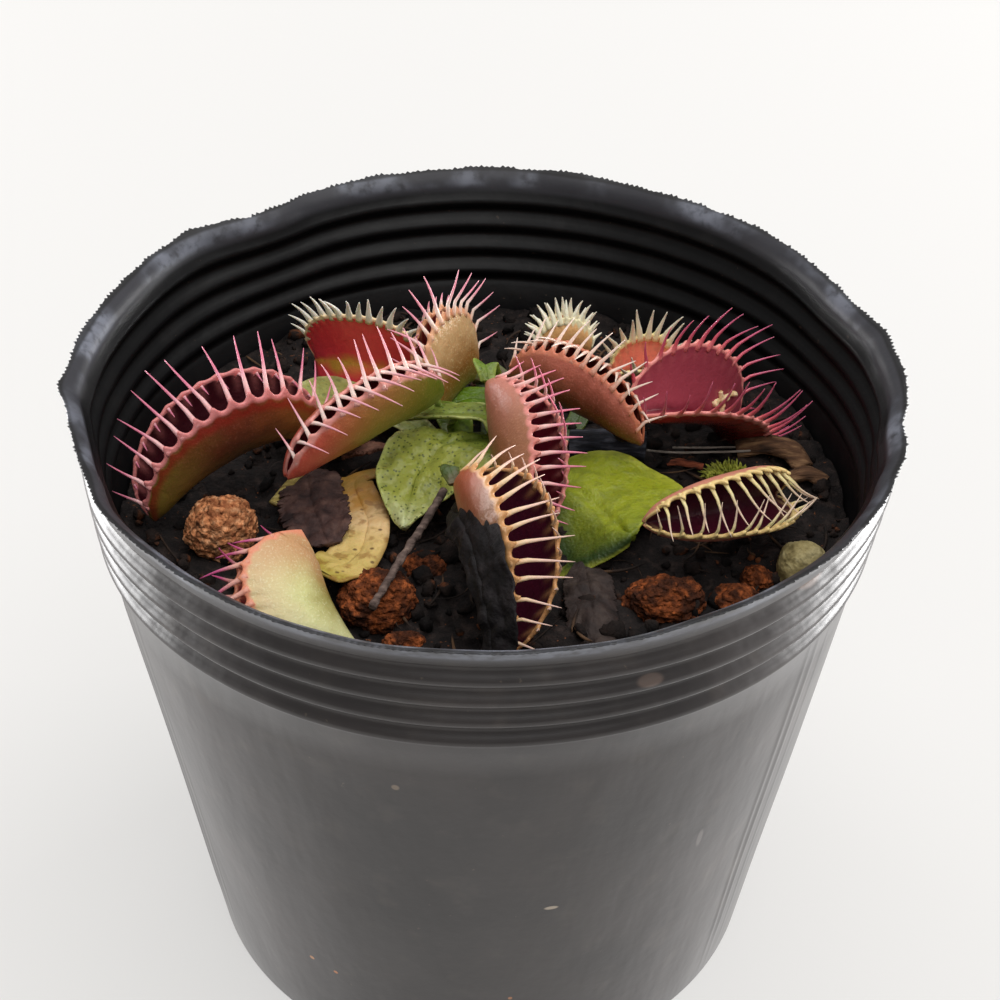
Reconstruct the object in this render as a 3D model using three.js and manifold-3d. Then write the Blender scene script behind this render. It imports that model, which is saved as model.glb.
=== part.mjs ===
// A Venus flytrap growing in a soft black nursery pot.
// Units are millimetres, +Z is up, and the origin is the centre of the ring the pot stands on.
import * as THREE from 'three';
import { mergeVertices } from 'three/addons/utils/BufferGeometryUtils.js';
import Module from 'manifold-3d';

const wasm = await Module();
wasm.setup();

// ---------------------------------------------------------------- driving dimensions

const POT_HEIGHT = 74;
const RIM_RADIUS = 45; // outer edge of the lip
const BASE_RADIUS = 33; // outer edge of the ring it stands on
const WALL = 1; // thickness of the moulded sheet
const LIP_DROP = 1.8; // height of the flared lip
const LIP_FLARE = 0.7; // how far the lip stands out from the wall
const RIB_BOTTOM = 59.5; // the ribbed band under the lip
const RIB_TOP = 71.5;
const RIB_COUNT = 4;
const RIB_DEPTH = 0.45;
const FOOT_WIDTH = 3.2; // width of the ring it stands on
const FOOT_RISE = 2.4; // the floor is raised by this much
const DRAIN_COUNT = 8;
const DRAIN_RADIUS = 2.2;
const DRAIN_CIRCLE = 20;
const ROUND_STEPS = 36; // segments round the pot and the soil

const SOIL_LEVEL = 56.6; // height of the soil at the wall
const SOIL_MOUND = 1; // extra height in the middle
const GAP = 0.3; // clearance between pieces that touch

const CROWN = { x: 0.5, y: 2.5, radius: 4.2, top: 62.4, bottom: 51 };

const LOBE_THICKNESS = 0.8;
const LOBE_STEPS_ALONG = 8;
const LOBE_STEPS_ACROSS = 6; // rim to rim
const TOOTH_WIDTH = 1.05;
const TOOTH_ROOT = 0.7; // how far a tooth is sunk into its lobe
const BLADE_THICKNESS = 0.8;
const NECK_GAP = 0.5; // between the end of a blade and the end of its trap's midrib
const NECK_RUN = 2.2; // the last stretch of a blade runs on in line with the midrib

// Each leaf is a green blade (the petiole) that ends in a trap.
// at: middle of the trap's midrib. heading, pitch: the way the midrib points from end to end.
// roll: the way the mouth is turned about the midrib, 0 being straight up.
// open: the lobes' angle from the mouth direction, at the midrib and at the rim; far: the other lobe's.
// teeth, reach: count on each rim and their length. lean: inward tilt. fan, sweep: spread along the rim.
// joins: the end of the midrib that the blade grows into. blade.start: its angle round the crown.
const LEAVES = [
  { name: 'left', at: [-28, -4, 64.1], heading: 38, pitch: 14, roll: -9, length: 22, width: 9.6,
    arch: 75, open: [54, -18], teeth: 13, reach: 6.8, lean: 24, fan: -5, sweep: 0, joins: 1,
    blade: { start: 150, lift: 0.2, via: [[-9.4, 9.6, 61], [-18.2, 10, 64]], width: 7.4, widest: 0.7,
      fold: 8, tilt: 34 } },
  { name: 'inner_left', at: [-13.2, -0.6, 66.2], heading: 41, pitch: 4, roll: 14, length: 21, width: 9.3,
    arch: 6, open: [54, -44], teeth: 12, reach: 5.6, lean: 30, fan: 5, sweep: 14, joins: 1, drop: 1.4,
    blade: { start: 130, lift: 1.4, via: [[-2.6, 6.2, 63]], width: 3.4, widest: 0.5, fold: 20 } },
  { name: 'back_left', at: [-14.5, 18.1, 64.8], heading: -15, pitch: 4, roll: 50, length: 13.5, width: 8,
    arch: 70, open: [95, 75], far: [50, 28], teeth: 13, reach: 4.6, lean: 8, fan: 25, sweep: 8, joins: 1,
    blade: { start: 116, lift: 0, via: [[-4.5, 13, 59.1]], width: 3, widest: 0.55, fold: 15 } },
  { name: 'upright', at: [-3.2, 13.4, 63.5], heading: 60, pitch: 8, roll: -8, length: 9.5, width: 10.5,
    arch: 50, open: [28, -16], teeth: 11, reach: 4.5, lean: 5, fan: 50, sweep: 0, joins: 1,
    blade: { start: 90, lift: 0, via: [[0.8, 14, 59.2]], width: 2.8, widest: 0.4, fold: 20 } },
  { name: 'centre', at: [1.5, -7, 66.5], heading: -84, pitch: -28, roll: -39, length: 21, width: 9,
    arch: 8, open: [49, -22], teeth: 14, reach: 5, lean: 16, fan: 19, sweep: 3, joins: -1,
    blade: { start: 84, lift: 2, via: [[1.2, 6.8, 66]], width: 3, widest: 0.5, fold: 20 } },
  { name: 'front', at: [0.5, -20, 65], heading: -80, pitch: -33, roll: -22, length: 19.5, width: 9,
    arch: 20, open: [48, -16], teeth: 13, reach: 5.5, lean: 20, fan: 20, sweep: 0, joins: -1,
    blade: { start: 266, lift: 0.8, via: [[-1.2, -4.8, 64.6]], width: 3, widest: 0.5, fold: 20 } },
  { name: 'inner_right', at: [9.9, 6.5, 65.2], heading: -34, pitch: -7, roll: 2, length: 17.5, width: 8.5,
    arch: 10, open: [52, -44], teeth: 13, reach: 4.5, lean: 24, fan: 23, sweep: 5, joins: -1,
    blade: { start: 62, lift: 1.3, via: [[3.6, 10.5, 62]], width: 2.6, widest: 0.4, fold: 20 } },
  { name: 'back_small', at: [9.5, 23, 62], heading: 1, pitch: 10, roll: -20, length: 6, width: 4.6,
    arch: 50, open: [50, -5], teeth: 9, reach: 3.2, lean: 12, fan: 30, sweep: 0, joins: -1,
    blade: { start: 58, lift: 0, via: [[5.6, 14, 59.2]], width: 2.4, widest: 0.5, fold: 12 } },
  { name: 'back_pale', at: [18.5, 17.5, 62.2], heading: 11, pitch: 0, roll: 30, length: 6.5, width: 4.6,
    arch: 40, open: [48, 10], teeth: 9, reach: 4, lean: 4, fan: 20, sweep: 0, joins: -1,
    blade: { start: 31, lift: 0, via: [[10.5, 12.5, 59.2]], width: 2.4, widest: 0.5, fold: 12 } },
  { name: 'right', at: [24.8, 10.6, 63], heading: 27, pitch: -23, roll: 20, length: 17.5, width: 7,
    arch: 60, open: [60, 33], teeth: 14, reach: 6, lean: 30, fan: 30, sweep: 0, joins: -1, drop: 1.4,
    blade: { start: 6, lift: 0.2, via: [[11, 3.5, 60.2], [15, 5.5, 61.5]], width: 3, widest: 0.4,
      fold: 12 } },
  { name: 'front_right', at: [25, -9, 63], heading: 31, pitch: -11, roll: 53, length: 19.5, width: 7.5,
    arch: 19, open: [67, -15], teeth: 13, reach: 6, lean: 36, fan: 50, sweep: 27, joins: -1,
    blade: { start: -25, lift: 0.4, via: [[9.4, -2.4, 61.4], [12.8, -7, 61.3]], width: 13.4, widest: 0.6,
      fold: -10, tilt: 14 } },
  { name: 'front_left', at: [-15.5, -25, 63], heading: -72, pitch: -25, roll: 85, length: 12.5, width: 9,
    arch: 45, open: [48, -25], teeth: 11, reach: 4.5, lean: 10, fan: 10, sweep: 0, joins: -1,
    blade: { start: 184, lift: 0,
      via: [[-9, 2.5, 59.2], [-14.2, 0, 59.8], [-12.6, -8.5, 60.3], [-14, -16.2, 61.2]], width: 7,
      widest: 0.58, fold: 6 } },
];

// Leaf bases that carry no trap any more.
const BARE_BLADES = [
  { name: 'blade_speckled', start: 208, lift: 2, via: [[-5.8, -0.1, 63.5], [-7.7, -5, 62.8]],
    end: [-8.6, -10.2, 61.2], width: 10.2, widest: 0.42, neck: 1.2, fold: 4, tilt: -9 },
];

// Balls of baked clay and a stone. at: centre. size: half widths.
const PEBBLES = [
  { name: 'clay_ball', at: [-28.5, -9.5, 60], size: [3.7, 3.5, 3.6] },
  { name: 'clay_front_left', at: [-11, -19.5, 58.5], size: [4, 3.6, 3] },
  { name: 'clay_front_upper', at: [-6.3, -13.5, 57.8], size: [2.6, 2.4, 2] },
  { name: 'clay_front_small', at: [-8.2, -25, 57.4], size: [2.2, 1.6, 1.4] },
  { name: 'clay_right', at: [19, -18.5, 58], size: [4.2, 3, 2.8] },
  { name: 'clay_right_small', at: [26.4, -18, 57.6], size: [2.7, 2.3, 2] },
  { name: 'clay_right_upper', at: [29, -13.6, 57.2], size: [1.9, 1.7, 1.4] },
  { name: 'stone_beige', at: [34, -12.6, 58], size: [2.9, 2.8, 2.8] },
];

// ---------------------------------------------------------------- materials

const plastic = (colour) => new THREE.MeshStandardMaterial({ color: colour, roughness: 0.5, metalness: 0 });
const dull = (colour, roughness = 0.85) =>
  new THREE.MeshStandardMaterial({ color: colour, roughness, metalness: 0 });

const POT_MATERIAL = plastic(0x232326);
const SOIL_MATERIAL = dull(0x1d1712, 0.95);
const CROWN_MATERIAL = dull(0xb9bf86, 0.6);
const BLADE_MATERIAL = dull(0x7c9a33, 0.5);
const TRAP_MATERIAL = dull(0xb06a50, 0.5);
const DEAD_MATERIAL = dull(0x2b2422);
const CLAY_MATERIAL = dull(0xa0623a, 0.95);
const STONE_MATERIAL = dull(0x97885f);
const BARK_MATERIAL = dull(0x4a3a2c);
const STRAW_MATERIAL = dull(0x9a8a4c);
const MOSS_MATERIAL = dull(0x556b26, 0.95);

// ---------------------------------------------------------------- helpers

const radians = THREE.MathUtils.degToRad;
const mix = THREE.MathUtils.lerp;

/** Repeatable random numbers from 0 to 1. */
function seeded(seed) {
  let state = seed;
  return () => {
    state = (state * 16807) % 2147483647;
    return state / 2147483647;
  };
}

/** A closed BufferGeometry as a manifold solid. */
function toSolid(geometry) {
  const bare = geometry.clone();
  bare.deleteAttribute('normal');
  bare.deleteAttribute('uv');
  const merged = mergeVertices(bare, 1e-4);
  return new wasm.Manifold(new wasm.Mesh({
    numProp: 3,
    vertProperties: new Float32Array(merged.attributes.position.array),
    triVerts: new Uint32Array(merged.index.array),
  }));
}

/** A manifold solid as a BufferGeometry. */
function toGeometry(solid) {
  const mesh = solid.getMesh();
  const geometry = new THREE.BufferGeometry();
  geometry.setAttribute('position', new THREE.BufferAttribute(new Float32Array(mesh.vertProperties), 3));
  geometry.setIndex(new THREE.BufferAttribute(new Uint32Array(mesh.triVerts), 1));
  geometry.computeVertexNormals();
  return geometry;
}

/** The largest connected body of a solid: loose crumbs left by a cut are dropped. */
function mainBody(solid) {
  const bodies = solid.decompose();
  return bodies.reduce((best, body) => (body.volume() > best.volume() ? body : best));
}

/** Joins solids into one. */
const join = (solids) => solids.reduce((sum, solid) => sum.add(solid));

/** A closed sheet between two grids of points, rows by columns, the upper one on the outside. */
function sheet(lower, upper) {
  const rows = lower.length;
  const columns = lower[0].length;
  const index = (layer, i, j) => (layer * rows + i) * columns + j;
  const triangles = [];
  const quad = (a, b, c, d) => triangles.push(a, b, c, a, c, d);
  for (let i = 0; i < rows - 1; i += 1) {
    for (let j = 0; j < columns - 1; j += 1) {
      quad(index(1, i, j), index(1, i + 1, j), index(1, i + 1, j + 1), index(1, i, j + 1));
      quad(index(0, i, j), index(0, i, j + 1), index(0, i + 1, j + 1), index(0, i + 1, j));
    }
  }
  for (let i = 0; i < rows - 1; i += 1) {
    const last = columns - 1;
    quad(index(0, i, 0), index(0, i + 1, 0), index(1, i + 1, 0), index(1, i, 0));
    quad(index(0, i, last), index(1, i, last), index(1, i + 1, last), index(0, i + 1, last));
  }
  for (let j = 0; j < columns - 1; j += 1) {
    const last = rows - 1;
    quad(index(0, 0, j), index(1, 0, j), index(1, 0, j + 1), index(0, 0, j + 1));
    quad(index(0, last, j), index(0, last, j + 1), index(1, last, j + 1), index(1, last, j));
  }
  const geometry = new THREE.BufferGeometry();
  const points = [...lower.flat(), ...upper.flat()].flatMap((point) => point.toArray());
  geometry.setAttribute('position', new THREE.Float32BufferAttribute(points, 3));
  geometry.setIndex(triangles);
  geometry.computeVertexNormals();
  return geometry;
}

/** A round bar along a smooth line, thinner or thicker by its radius. */
function rod(points, radius, steps = 8, sides = 5) {
  const outline = new THREE.Shape(Array.from({ length: sides }, (_, k) => {
    const angle = (2 * Math.PI * k) / sides;
    return new THREE.Vector2(radius * Math.cos(angle), radius * Math.sin(angle));
  }));
  const line = new THREE.CatmullRomCurve3(points.map((point) => new THREE.Vector3(...point)));
  return new THREE.ExtrudeGeometry(outline, { steps, extrudePath: line });
}

/** A lump: a ball of triangles with its corners pushed in and out at random. */
function lump({ at, size }, random, detail = 1, roughness = 0.14) {
  const geometry = mergeVertices(bareBall(detail), 1e-4);
  const position = geometry.attributes.position;
  const point = new THREE.Vector3();
  for (let k = 0; k < position.count; k += 1) {
    point.fromBufferAttribute(position, k).normalize();
    point.multiplyScalar(1 + roughness * (random() - 0.5) * 2);
    position.setXYZ(k, at[0] + size[0] * point.x, at[1] + size[1] * point.y, at[2] + size[2] * point.z);
  }
  geometry.computeVertexNormals();
  return geometry;
}

/** A ball of triangles with position alone, so that its corners can be shared. */
function bareBall(detail) {
  const ball = new THREE.IcosahedronGeometry(1, detail);
  ball.deleteAttribute('normal');
  ball.deleteAttribute('uv');
  return ball;
}

// ---------------------------------------------------------------- pot and soil

/** Radius of the pot's outside at a height, ribs and lip included. */
function potRadius(z) {
  const straight = mix(BASE_RADIUS, RIM_RADIUS - LIP_FLARE, z / POT_HEIGHT);
  const band = (z - RIB_BOTTOM) / (RIB_TOP - RIB_BOTTOM);
  const rib = band > 0 && band < 1 ? RIB_DEPTH * Math.sin(2 * Math.PI * RIB_COUNT * band) : 0;
  const flare = Math.max(0, (z - (POT_HEIGHT - LIP_DROP)) / LIP_DROP);
  return straight + rib + LIP_FLARE * flare;
}

/** How far the soft rim is pushed in (minus) or out at an angle, in millimetres. */
function rimDent(angle) {
  const dents = [
    { at: 128, wide: 9, depth: -1.5 }, // fold at the back left
    { at: 146, wide: 9, depth: 0.7 },
    { at: 196, wide: 10, depth: -1.1 }, // crumpled left side
    { at: 24, wide: 9, depth: -0.9 }, // crease on the right
    { at: 350, wide: 5, depth: -0.8 },
  ];
  const turn = (a) => ((a + 540) % 360) - 180;
  return dents.reduce((sum, d) => sum + d.depth * Math.exp(-((turn(angle - d.at) / d.wide) ** 2)), 0);
}

/** Bends the top of the pot in and out where its soft rim is dented. */
function dentRim(geometry) {
  const position = geometry.attributes.position;
  for (let k = 0; k < position.count; k += 1) {
    const [x, y, z] = [position.getX(k), position.getY(k), position.getZ(k)];
    const radius = Math.hypot(x, y);
    const rise = Math.max(0, (z - SOIL_LEVEL - 1) / (POT_HEIGHT - SOIL_LEVEL - 1));
    if (radius > RIM_RADIUS / 2 && rise > 0) {
      const angle = THREE.MathUtils.radToDeg(Math.atan2(y, x));
      const grow = 1 + (rimDent((angle + 360) % 360) * rise ** 1.5) / radius;
      position.setXY(k, x * grow, y * grow);
    }
  }
  return geometry;
}

/** Spins a closed profile of [radius, height] pairs round the Z axis. */
function spin(profile, steps = ROUND_STEPS) {
  const geometry = new THREE.LatheGeometry(profile.map(([r, z]) => new THREE.Vector2(r, z)), steps);
  geometry.rotateX(Math.PI / 2);
  return geometry;
}

function makePot() {
  const ribSteps = 2 * RIB_COUNT; // a point on each crest and in each groove
  const ribHeights = Array.from({ length: ribSteps }, (_, k) =>
    mix(RIB_BOTTOM, RIB_TOP, (k + 0.5) / ribSteps));
  const heights = [RIB_BOTTOM - 0.6, ...ribHeights, POT_HEIGHT - LIP_DROP, POT_HEIGHT];
  const outside = [[BASE_RADIUS, 0], [potRadius(20), 20], ...heights.map((z) => [potRadius(z), z])];
  const inside = [...heights].reverse().map((z) => [potRadius(z) - WALL, z]);
  const floorTop = FOOT_RISE + WALL;
  const bottom = [
    [potRadius(floorTop) - WALL, floorTop],
    [0, floorTop],
    [0, FOOT_RISE],
    [BASE_RADIUS - FOOT_WIDTH - 1, FOOT_RISE],
    [BASE_RADIUS - FOOT_WIDTH, 0],
    [BASE_RADIUS, 0],
  ];
  const shell = toSolid(dentRim(spin([...outside, ...inside, ...bottom])));
  const drill = new THREE.CylinderGeometry(DRAIN_RADIUS, DRAIN_RADIUS, 4 * FOOT_RISE, 10);
  drill.rotateX(Math.PI / 2);
  const drains = Array.from({ length: DRAIN_COUNT }, (_, k) => {
    const angle = (2 * Math.PI * (k + 0.5)) / DRAIN_COUNT;
    const [x, y] = [DRAIN_CIRCLE * Math.cos(angle), DRAIN_CIRCLE * Math.sin(angle)];
    return toSolid(drill.clone().translate(x, y, 0));
  });
  return drains.reduce((pot, drain) => pot.subtract(drain), shell);
}

/** Height of the soil at a distance from the middle, without its small bumps. */
const soilHeight = (radius) => SOIL_LEVEL + SOIL_MOUND * (1 - (radius / RIM_RADIUS) ** 2);

/** The soil that fills the pot, with a hole for the crown and a seat for each lump that lies in it. */
function makeSoil(seats) {
  const floor = FOOT_RISE + WALL + GAP;
  const edge = (z) => potRadius(z) - WALL - GAP;
  const rings = [36, 24, 12, 0];
  const top = rings.map((radius) => [radius, soilHeight(radius)]);
  const block = spin([[0, floor], [edge(floor), floor], [edge(SOIL_LEVEL), SOIL_LEVEL], ...top]);
  const position = block.attributes.position;
  for (let k = 0; k < position.count; k += 1) {
    const [x, y, z] = [position.getX(k), position.getY(k), position.getZ(k)];
    const radius = Math.hypot(x, y);
    if (z > SOIL_LEVEL && radius < rings[0] + 1) {
      const bump = 0.16 * (Math.sin(0.9 * x + 1.3) * Math.cos(0.8 * y) + Math.sin(0.5 * x - 0.7 * y));
      position.setZ(k, z + bump);
    }
  }
  return seats.reduce((soil, seat) => soil.subtract(seat), toSolid(block));
}

/** The white-green bulb that every leaf grows from, standing in its hole in the soil. */
function makeCrown(extra = 0) {
  const { x, y, radius, top, bottom } = CROWN;
  const side = radius + extra;
  const profile = [
    [0, bottom - extra],
    [0.6 * side, bottom - extra],
    [side, bottom + 3],
    [side, top - 2.2],
    [0.62 * side, top - 0.6 + extra],
    [0, top + extra],
  ];
  return spin(profile, 14).translate(x, y, 0);
}

// ---------------------------------------------------------------- leaves

/** The trap's own directions: along the midrib, toward the mouth, and out through the first lobe. */
function trapFrame({ heading, pitch, roll }) {
  const [h, p, r] = [heading, pitch, roll].map(radians);
  const along = new THREE.Vector3(Math.cos(h) * Math.cos(p), Math.sin(h) * Math.cos(p), Math.sin(p));
  const level = new THREE.Vector3(-Math.sin(h), Math.cos(h), 0);
  const upright = along.clone().cross(level);
  const mouth = upright.clone().multiplyScalar(Math.cos(r)).addScaledVector(level, -Math.sin(r));
  return { along, mouth, side: along.clone().cross(mouth) };
}

/**
 * A point of a trap. u runs along the midrib from -1 to 1. v runs across from one rim (-1) through
 * the midrib (0) to the other rim (1). The midrib is an arc, each lobe is a half leaf whose width
 * follows a flattened arch along u, and its section is an arc that turns from open[0] to open[1].
 */
function trapPoint(trap, u, v) {
  const { along, mouth, side } = trapFrame(trap);
  const bend = (u * radians(trap.arch)) / 2;
  const radius = trap.length / radians(trap.arch);
  const middle = new THREE.Vector3(...trap.at)
    .addScaledVector(along, radius * Math.sin(bend))
    .addScaledVector(mouth, radius * (Math.cos(bend) - 1));
  const turned = (a, b) => along.clone().multiplyScalar(a).addScaledVector(mouth, b);
  const localAlong = turned(Math.cos(bend), -Math.sin(bend));
  const localMouth = turned(Math.sin(bend), Math.cos(bend));
  const width = trap.width * (0.1 + 0.9 * (1 - Math.abs(u) ** 2.3) ** 0.62);
  const lobe = v < 0 ? -1 : 1;
  const [start, end] = (lobe < 0 && trap.far ? trap.far : trap.open).map(radians);
  const turn = end - start;
  const angle = start + turn * Math.abs(v);
  const toMouth = (width * (Math.sin(angle) - Math.sin(start))) / turn;
  const toSide = (-width * (Math.cos(angle) - Math.cos(start))) / turn;
  const point = middle.addScaledVector(localMouth, toMouth).addScaledVector(side, lobe * toSide);
  const across = (a, b) => localMouth.clone().multiplyScalar(a).addScaledVector(side, lobe * b);
  const rise = across(Math.cos(angle), Math.sin(angle));
  const inward = across(Math.sin(angle), -Math.cos(angle));
  return { point, rise, inward, localAlong, localMouth };
}

/** The two lobes as one bent sheet. Its outer face lies one thickness behind the inner one. */
function makeLobes(trap) {
  const inner = [];
  const outer = [];
  for (let i = 0; i <= LOBE_STEPS_ALONG; i += 1) {
    const u = Math.sin((Math.PI / 2) * mix(-1, 1, i / LOBE_STEPS_ALONG)); // closer rows at the ends
    const row = Array.from({ length: LOBE_STEPS_ACROSS + 1 }, (_, j) => mix(-1, 1, j / LOBE_STEPS_ACROSS));
    const places = row.map((v) => trapPoint(trap, u, v));
    inner.push(places.map((place) => place.point));
    outer.push(places.map((place, j) => {
      const hinge = Math.abs(row[j]) < 1e-6;
      const other = hinge ? trapPoint(trap, u, -1e-6).inward : place.inward;
      const outward = place.inward.clone().add(other).multiplyScalar(0.5);
      const reach = LOBE_THICKNESS / (hinge ? outward.lengthSq() : 1);
      return place.point.clone().addScaledVector(outward, -reach);
    }));
  }
  return sheet(inner, outer);
}

/** The stiff teeth of both rims: slim three-sided pyramids rooted in the lobes. */
function makeTeeth(trap) {
  const teeth = [];
  for (const lobe of [-1, 1]) {
    for (let k = 0; k < trap.teeth; k += 1) {
      const shift = lobe < 0 ? 0.5 : 0; // the two rows interlock
      const u = mix(-0.93, 0.93, Math.min(1, (k + shift) / (trap.teeth - 1)));
      if (k + shift > trap.teeth - 1) continue;
      const { point, rise, inward, localAlong } = trapPoint(trap, u, lobe);
      const fan = radians(trap.fan * u + trap.sweep);
      const lean = radians(trap.lean);
      const direction = rise.clone().multiplyScalar(Math.cos(lean)).addScaledVector(inward, Math.sin(lean))
        .multiplyScalar(Math.cos(fan)).addScaledVector(localAlong, Math.sin(fan));
      const length = trap.reach * (0.45 + 0.55 * (1 - u * u));
      const tip = point.clone().addScaledVector(direction, length);
      const root = point.addScaledVector(inward, -LOBE_THICKNESS / 2).addScaledVector(rise, -TOOTH_ROOT);
      teeth.push(spike(root, tip, localAlong, inward));
    }
  }
  return teeth;
}

/** A three-sided pyramid from a root to a tip, wide along one direction and thin across it. */
function spike(root, tip, wideWay, thinWay) {
  const corners = [
    root.clone().addScaledVector(wideWay, -TOOTH_WIDTH / 2).addScaledVector(thinWay, -LOBE_THICKNESS * 0.3),
    root.clone().addScaledVector(wideWay, TOOTH_WIDTH / 2).addScaledVector(thinWay, -LOBE_THICKNESS * 0.3),
    root.clone().addScaledVector(thinWay, LOBE_THICKNESS * 0.4),
  ];
  const geometry = new THREE.BufferGeometry();
  geometry.setAttribute('position', new THREE.Float32BufferAttribute(
    [...corners, tip].flatMap((point) => point.toArray()), 3));
  const facing = wideWay.clone().cross(thinWay).dot(tip.clone().sub(root)) > 0;
  geometry.setIndex(facing
    ? [0, 2, 1, 0, 1, 3, 1, 2, 3, 2, 0, 3]
    : [0, 1, 2, 0, 3, 1, 1, 3, 2, 2, 3, 0]);
  return geometry;
}

const makeTrap = (trap) => mainBody(join([makeLobes(trap), ...makeTeeth(trap)].map(toSolid)));

/** The middle line of a blade: from the crown, by way of its own points, to its last points. */
function bladeLine({ start, lift, via }, last) {
  const angle = radians(start);
  const reach = CROWN.radius + 2 * GAP;
  const foot = soilHeight(0) + BLADE_THICKNESS + GAP + lift;
  const root = [CROWN.x + reach * Math.cos(angle), CROWN.y + reach * Math.sin(angle), foot];
  return new THREE.CatmullRomCurve3([root, ...via, ...last].map((point) => new THREE.Vector3(...point)));
}

/**
 * A leaf blade along a line: narrow at its root, widest part of the way along and narrow again at
 * its neck. It folds up a little to both sides of its middle, and its edges may be waved.
 */
function makeBlade(blade, last, { steps = 8, across = 4, waves = 0 } = {}) {
  const line = blade.line ?? bladeLine(blade, last);
  const neck = blade.neck ?? 1.4;
  const root = blade.root ?? 2.2;
  const lower = [];
  const upper = [];
  for (let i = 0; i <= steps; i += 1) {
    const t = i / steps;
    const point = line.getPoint(t);
    const forward = line.getTangent(t);
    const side = new THREE.Vector3(0, 0, 1).cross(forward).normalize()
      .applyAxisAngle(forward, radians(blade.tilt ?? 0));
    const up = forward.clone().cross(side);
    const swell = t < blade.widest ? t / blade.widest : (1 - t) / (1 - blade.widest);
    const width = mix(mix(root, neck, t), blade.width, Math.sin((Math.PI / 2) * swell) ** 1.3);
    const place = (s) => {
      const fold = radians(blade.fold);
      const wave = waves * Math.abs(s) * Math.sin(7 * t * Math.PI + 2 * s);
      return point.clone()
        .addScaledVector(side, s * (width / 2) * Math.cos(fold))
        .addScaledVector(up, Math.abs(s) * (width / 2) * Math.sin(fold) + wave);
    };
    const row = Array.from({ length: across + 1 }, (_, j) => mix(-1, 1, j / across)).map(place);
    lower.push(row.map((p) => p.clone().addScaledVector(up, -BLADE_THICKNESS)));
    upper.push(row);
  }
  return sheet(lower, upper);
}

// ---------------------------------------------------------------- what lies on the soil

/** A withered leaf or shred on the soil: a blade along a low line of its own. */
function makeLitter({ points, width, widest = 0.5, fold = 8, tilt = 0, waves = 0.3 }) {
  const line = new THREE.CatmullRomCurve3(points.map((point) => new THREE.Vector3(...point)));
  return makeBlade({ line, width, widest, fold, tilt, root: 1, neck: 1 }, null, { waves, steps: 7 });
}

const LITTER = [
  { name: 'dead_leaf_black', points: [[-4.3, -12, 62], [-3.2, -20.5, 63.4], [-0.3, -29, 62]], width: 7,
    fold: -20, tilt: -35 },
  { name: 'dead_leaf_brown', points: [[7.5, -15.5, 59.4], [9.5, -20, 59.6], [11, -27, 59.2]], width: 7,
    fold: -12 },
  { name: 'dead_leaf_patch', points: [[-16, -2.5, 61.9], [-18.6, -5.5, 62], [-22, -9, 61]], width: 5,
    fold: 10 },
  { name: 'dead_leaf_shred', points: [[-16.2, 3, 61], [-13, 4, 61.3], [-10.8, 4.6, 61.2]], width: 1.6 },
  { name: 'bark_grey', points: [[9.5, 8, 59.2], [13, 7.3, 59.6], [17.5, 6, 59]], width: 3.4, fold: 4,
    waves: 0.2 },
];

const BARK_CHIPS = [
  { name: 'bark_chip_right', at: [31.5, 8, 57.8], size: [4.4, 1.6, 1] },
  { name: 'bark_chip_edge', at: [36, 3.5, 57.6], size: [2.6, 1.5, 1] },
];

const TWIG = { name: 'twig', radius: 0.6,
  points: [[-4.8, -8.4, 63.8], [-7, -13, 63.2], [-9.2, -17.5, 62.7], [-10.8, -21.6, 62.2]] };
const STRAW = { name: 'straw', radius: 0.7,
  points: [[-19.4, 1.6, 58.8], [-21.4, -0.8, 58.6], [-23, -3.2, 58.3]] };

/** A tuft of moss: a low cushion with short pointed shoots. */
function makeMoss(random) {
  const centre = [27.5, 2.5, 58.7];
  const cushion = toSolid(lump({ at: centre, size: [2.6, 1.7, 0.8] }, random));
  const shoots = Array.from({ length: 9 }, (_, k) => {
    const angle = 2.4 * k;
    const away = 0.62 * Math.sqrt(k);
    const shoot = new THREE.ConeGeometry(0.42, 1.6, 4);
    shoot.rotateX(Math.PI / 2 + 0.3 * (random() - 0.5));
    shoot.rotateY(0.3 * (random() - 0.5));
    shoot.translate(centre[0] + away * Math.cos(angle), centre[1] + 0.6 * away * Math.sin(angle),
      centre[2] + 0.9);
    return toSolid(shoot);
  });
  return join([cushion, ...shoots]);
}

// ---------------------------------------------------------------- assembly

const group = new THREE.Group();

/** Adds a solid or a geometry to the plant as a named mesh. */
function add(name, shape, material) {
  const geometry = shape.isBufferGeometry ? shape : toGeometry(shape);
  const mesh = new THREE.Mesh(geometry, material);
  mesh.name = name;
  group.add(mesh);
}

const random = seeded(20231);
const lumps = [];
const seats = [toSolid(makeCrown(GAP))];
for (const [list, material] of [[PEBBLES, CLAY_MATERIAL], [BARK_CHIPS, BARK_MATERIAL]]) {
  for (const item of list) {
    const solid = toSolid(lump(item, random));
    const grow = item.size.map((half) => 1 + (1.6 * GAP) / half);
    const seat = solid.translate(item.at.map((c) => -c)).scale(grow).translate(item.at);
    lumps.push({ item, solid, material: item.name === 'stone_beige' ? STONE_MATERIAL : material });
    seats.push(seat);
  }
}

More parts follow.
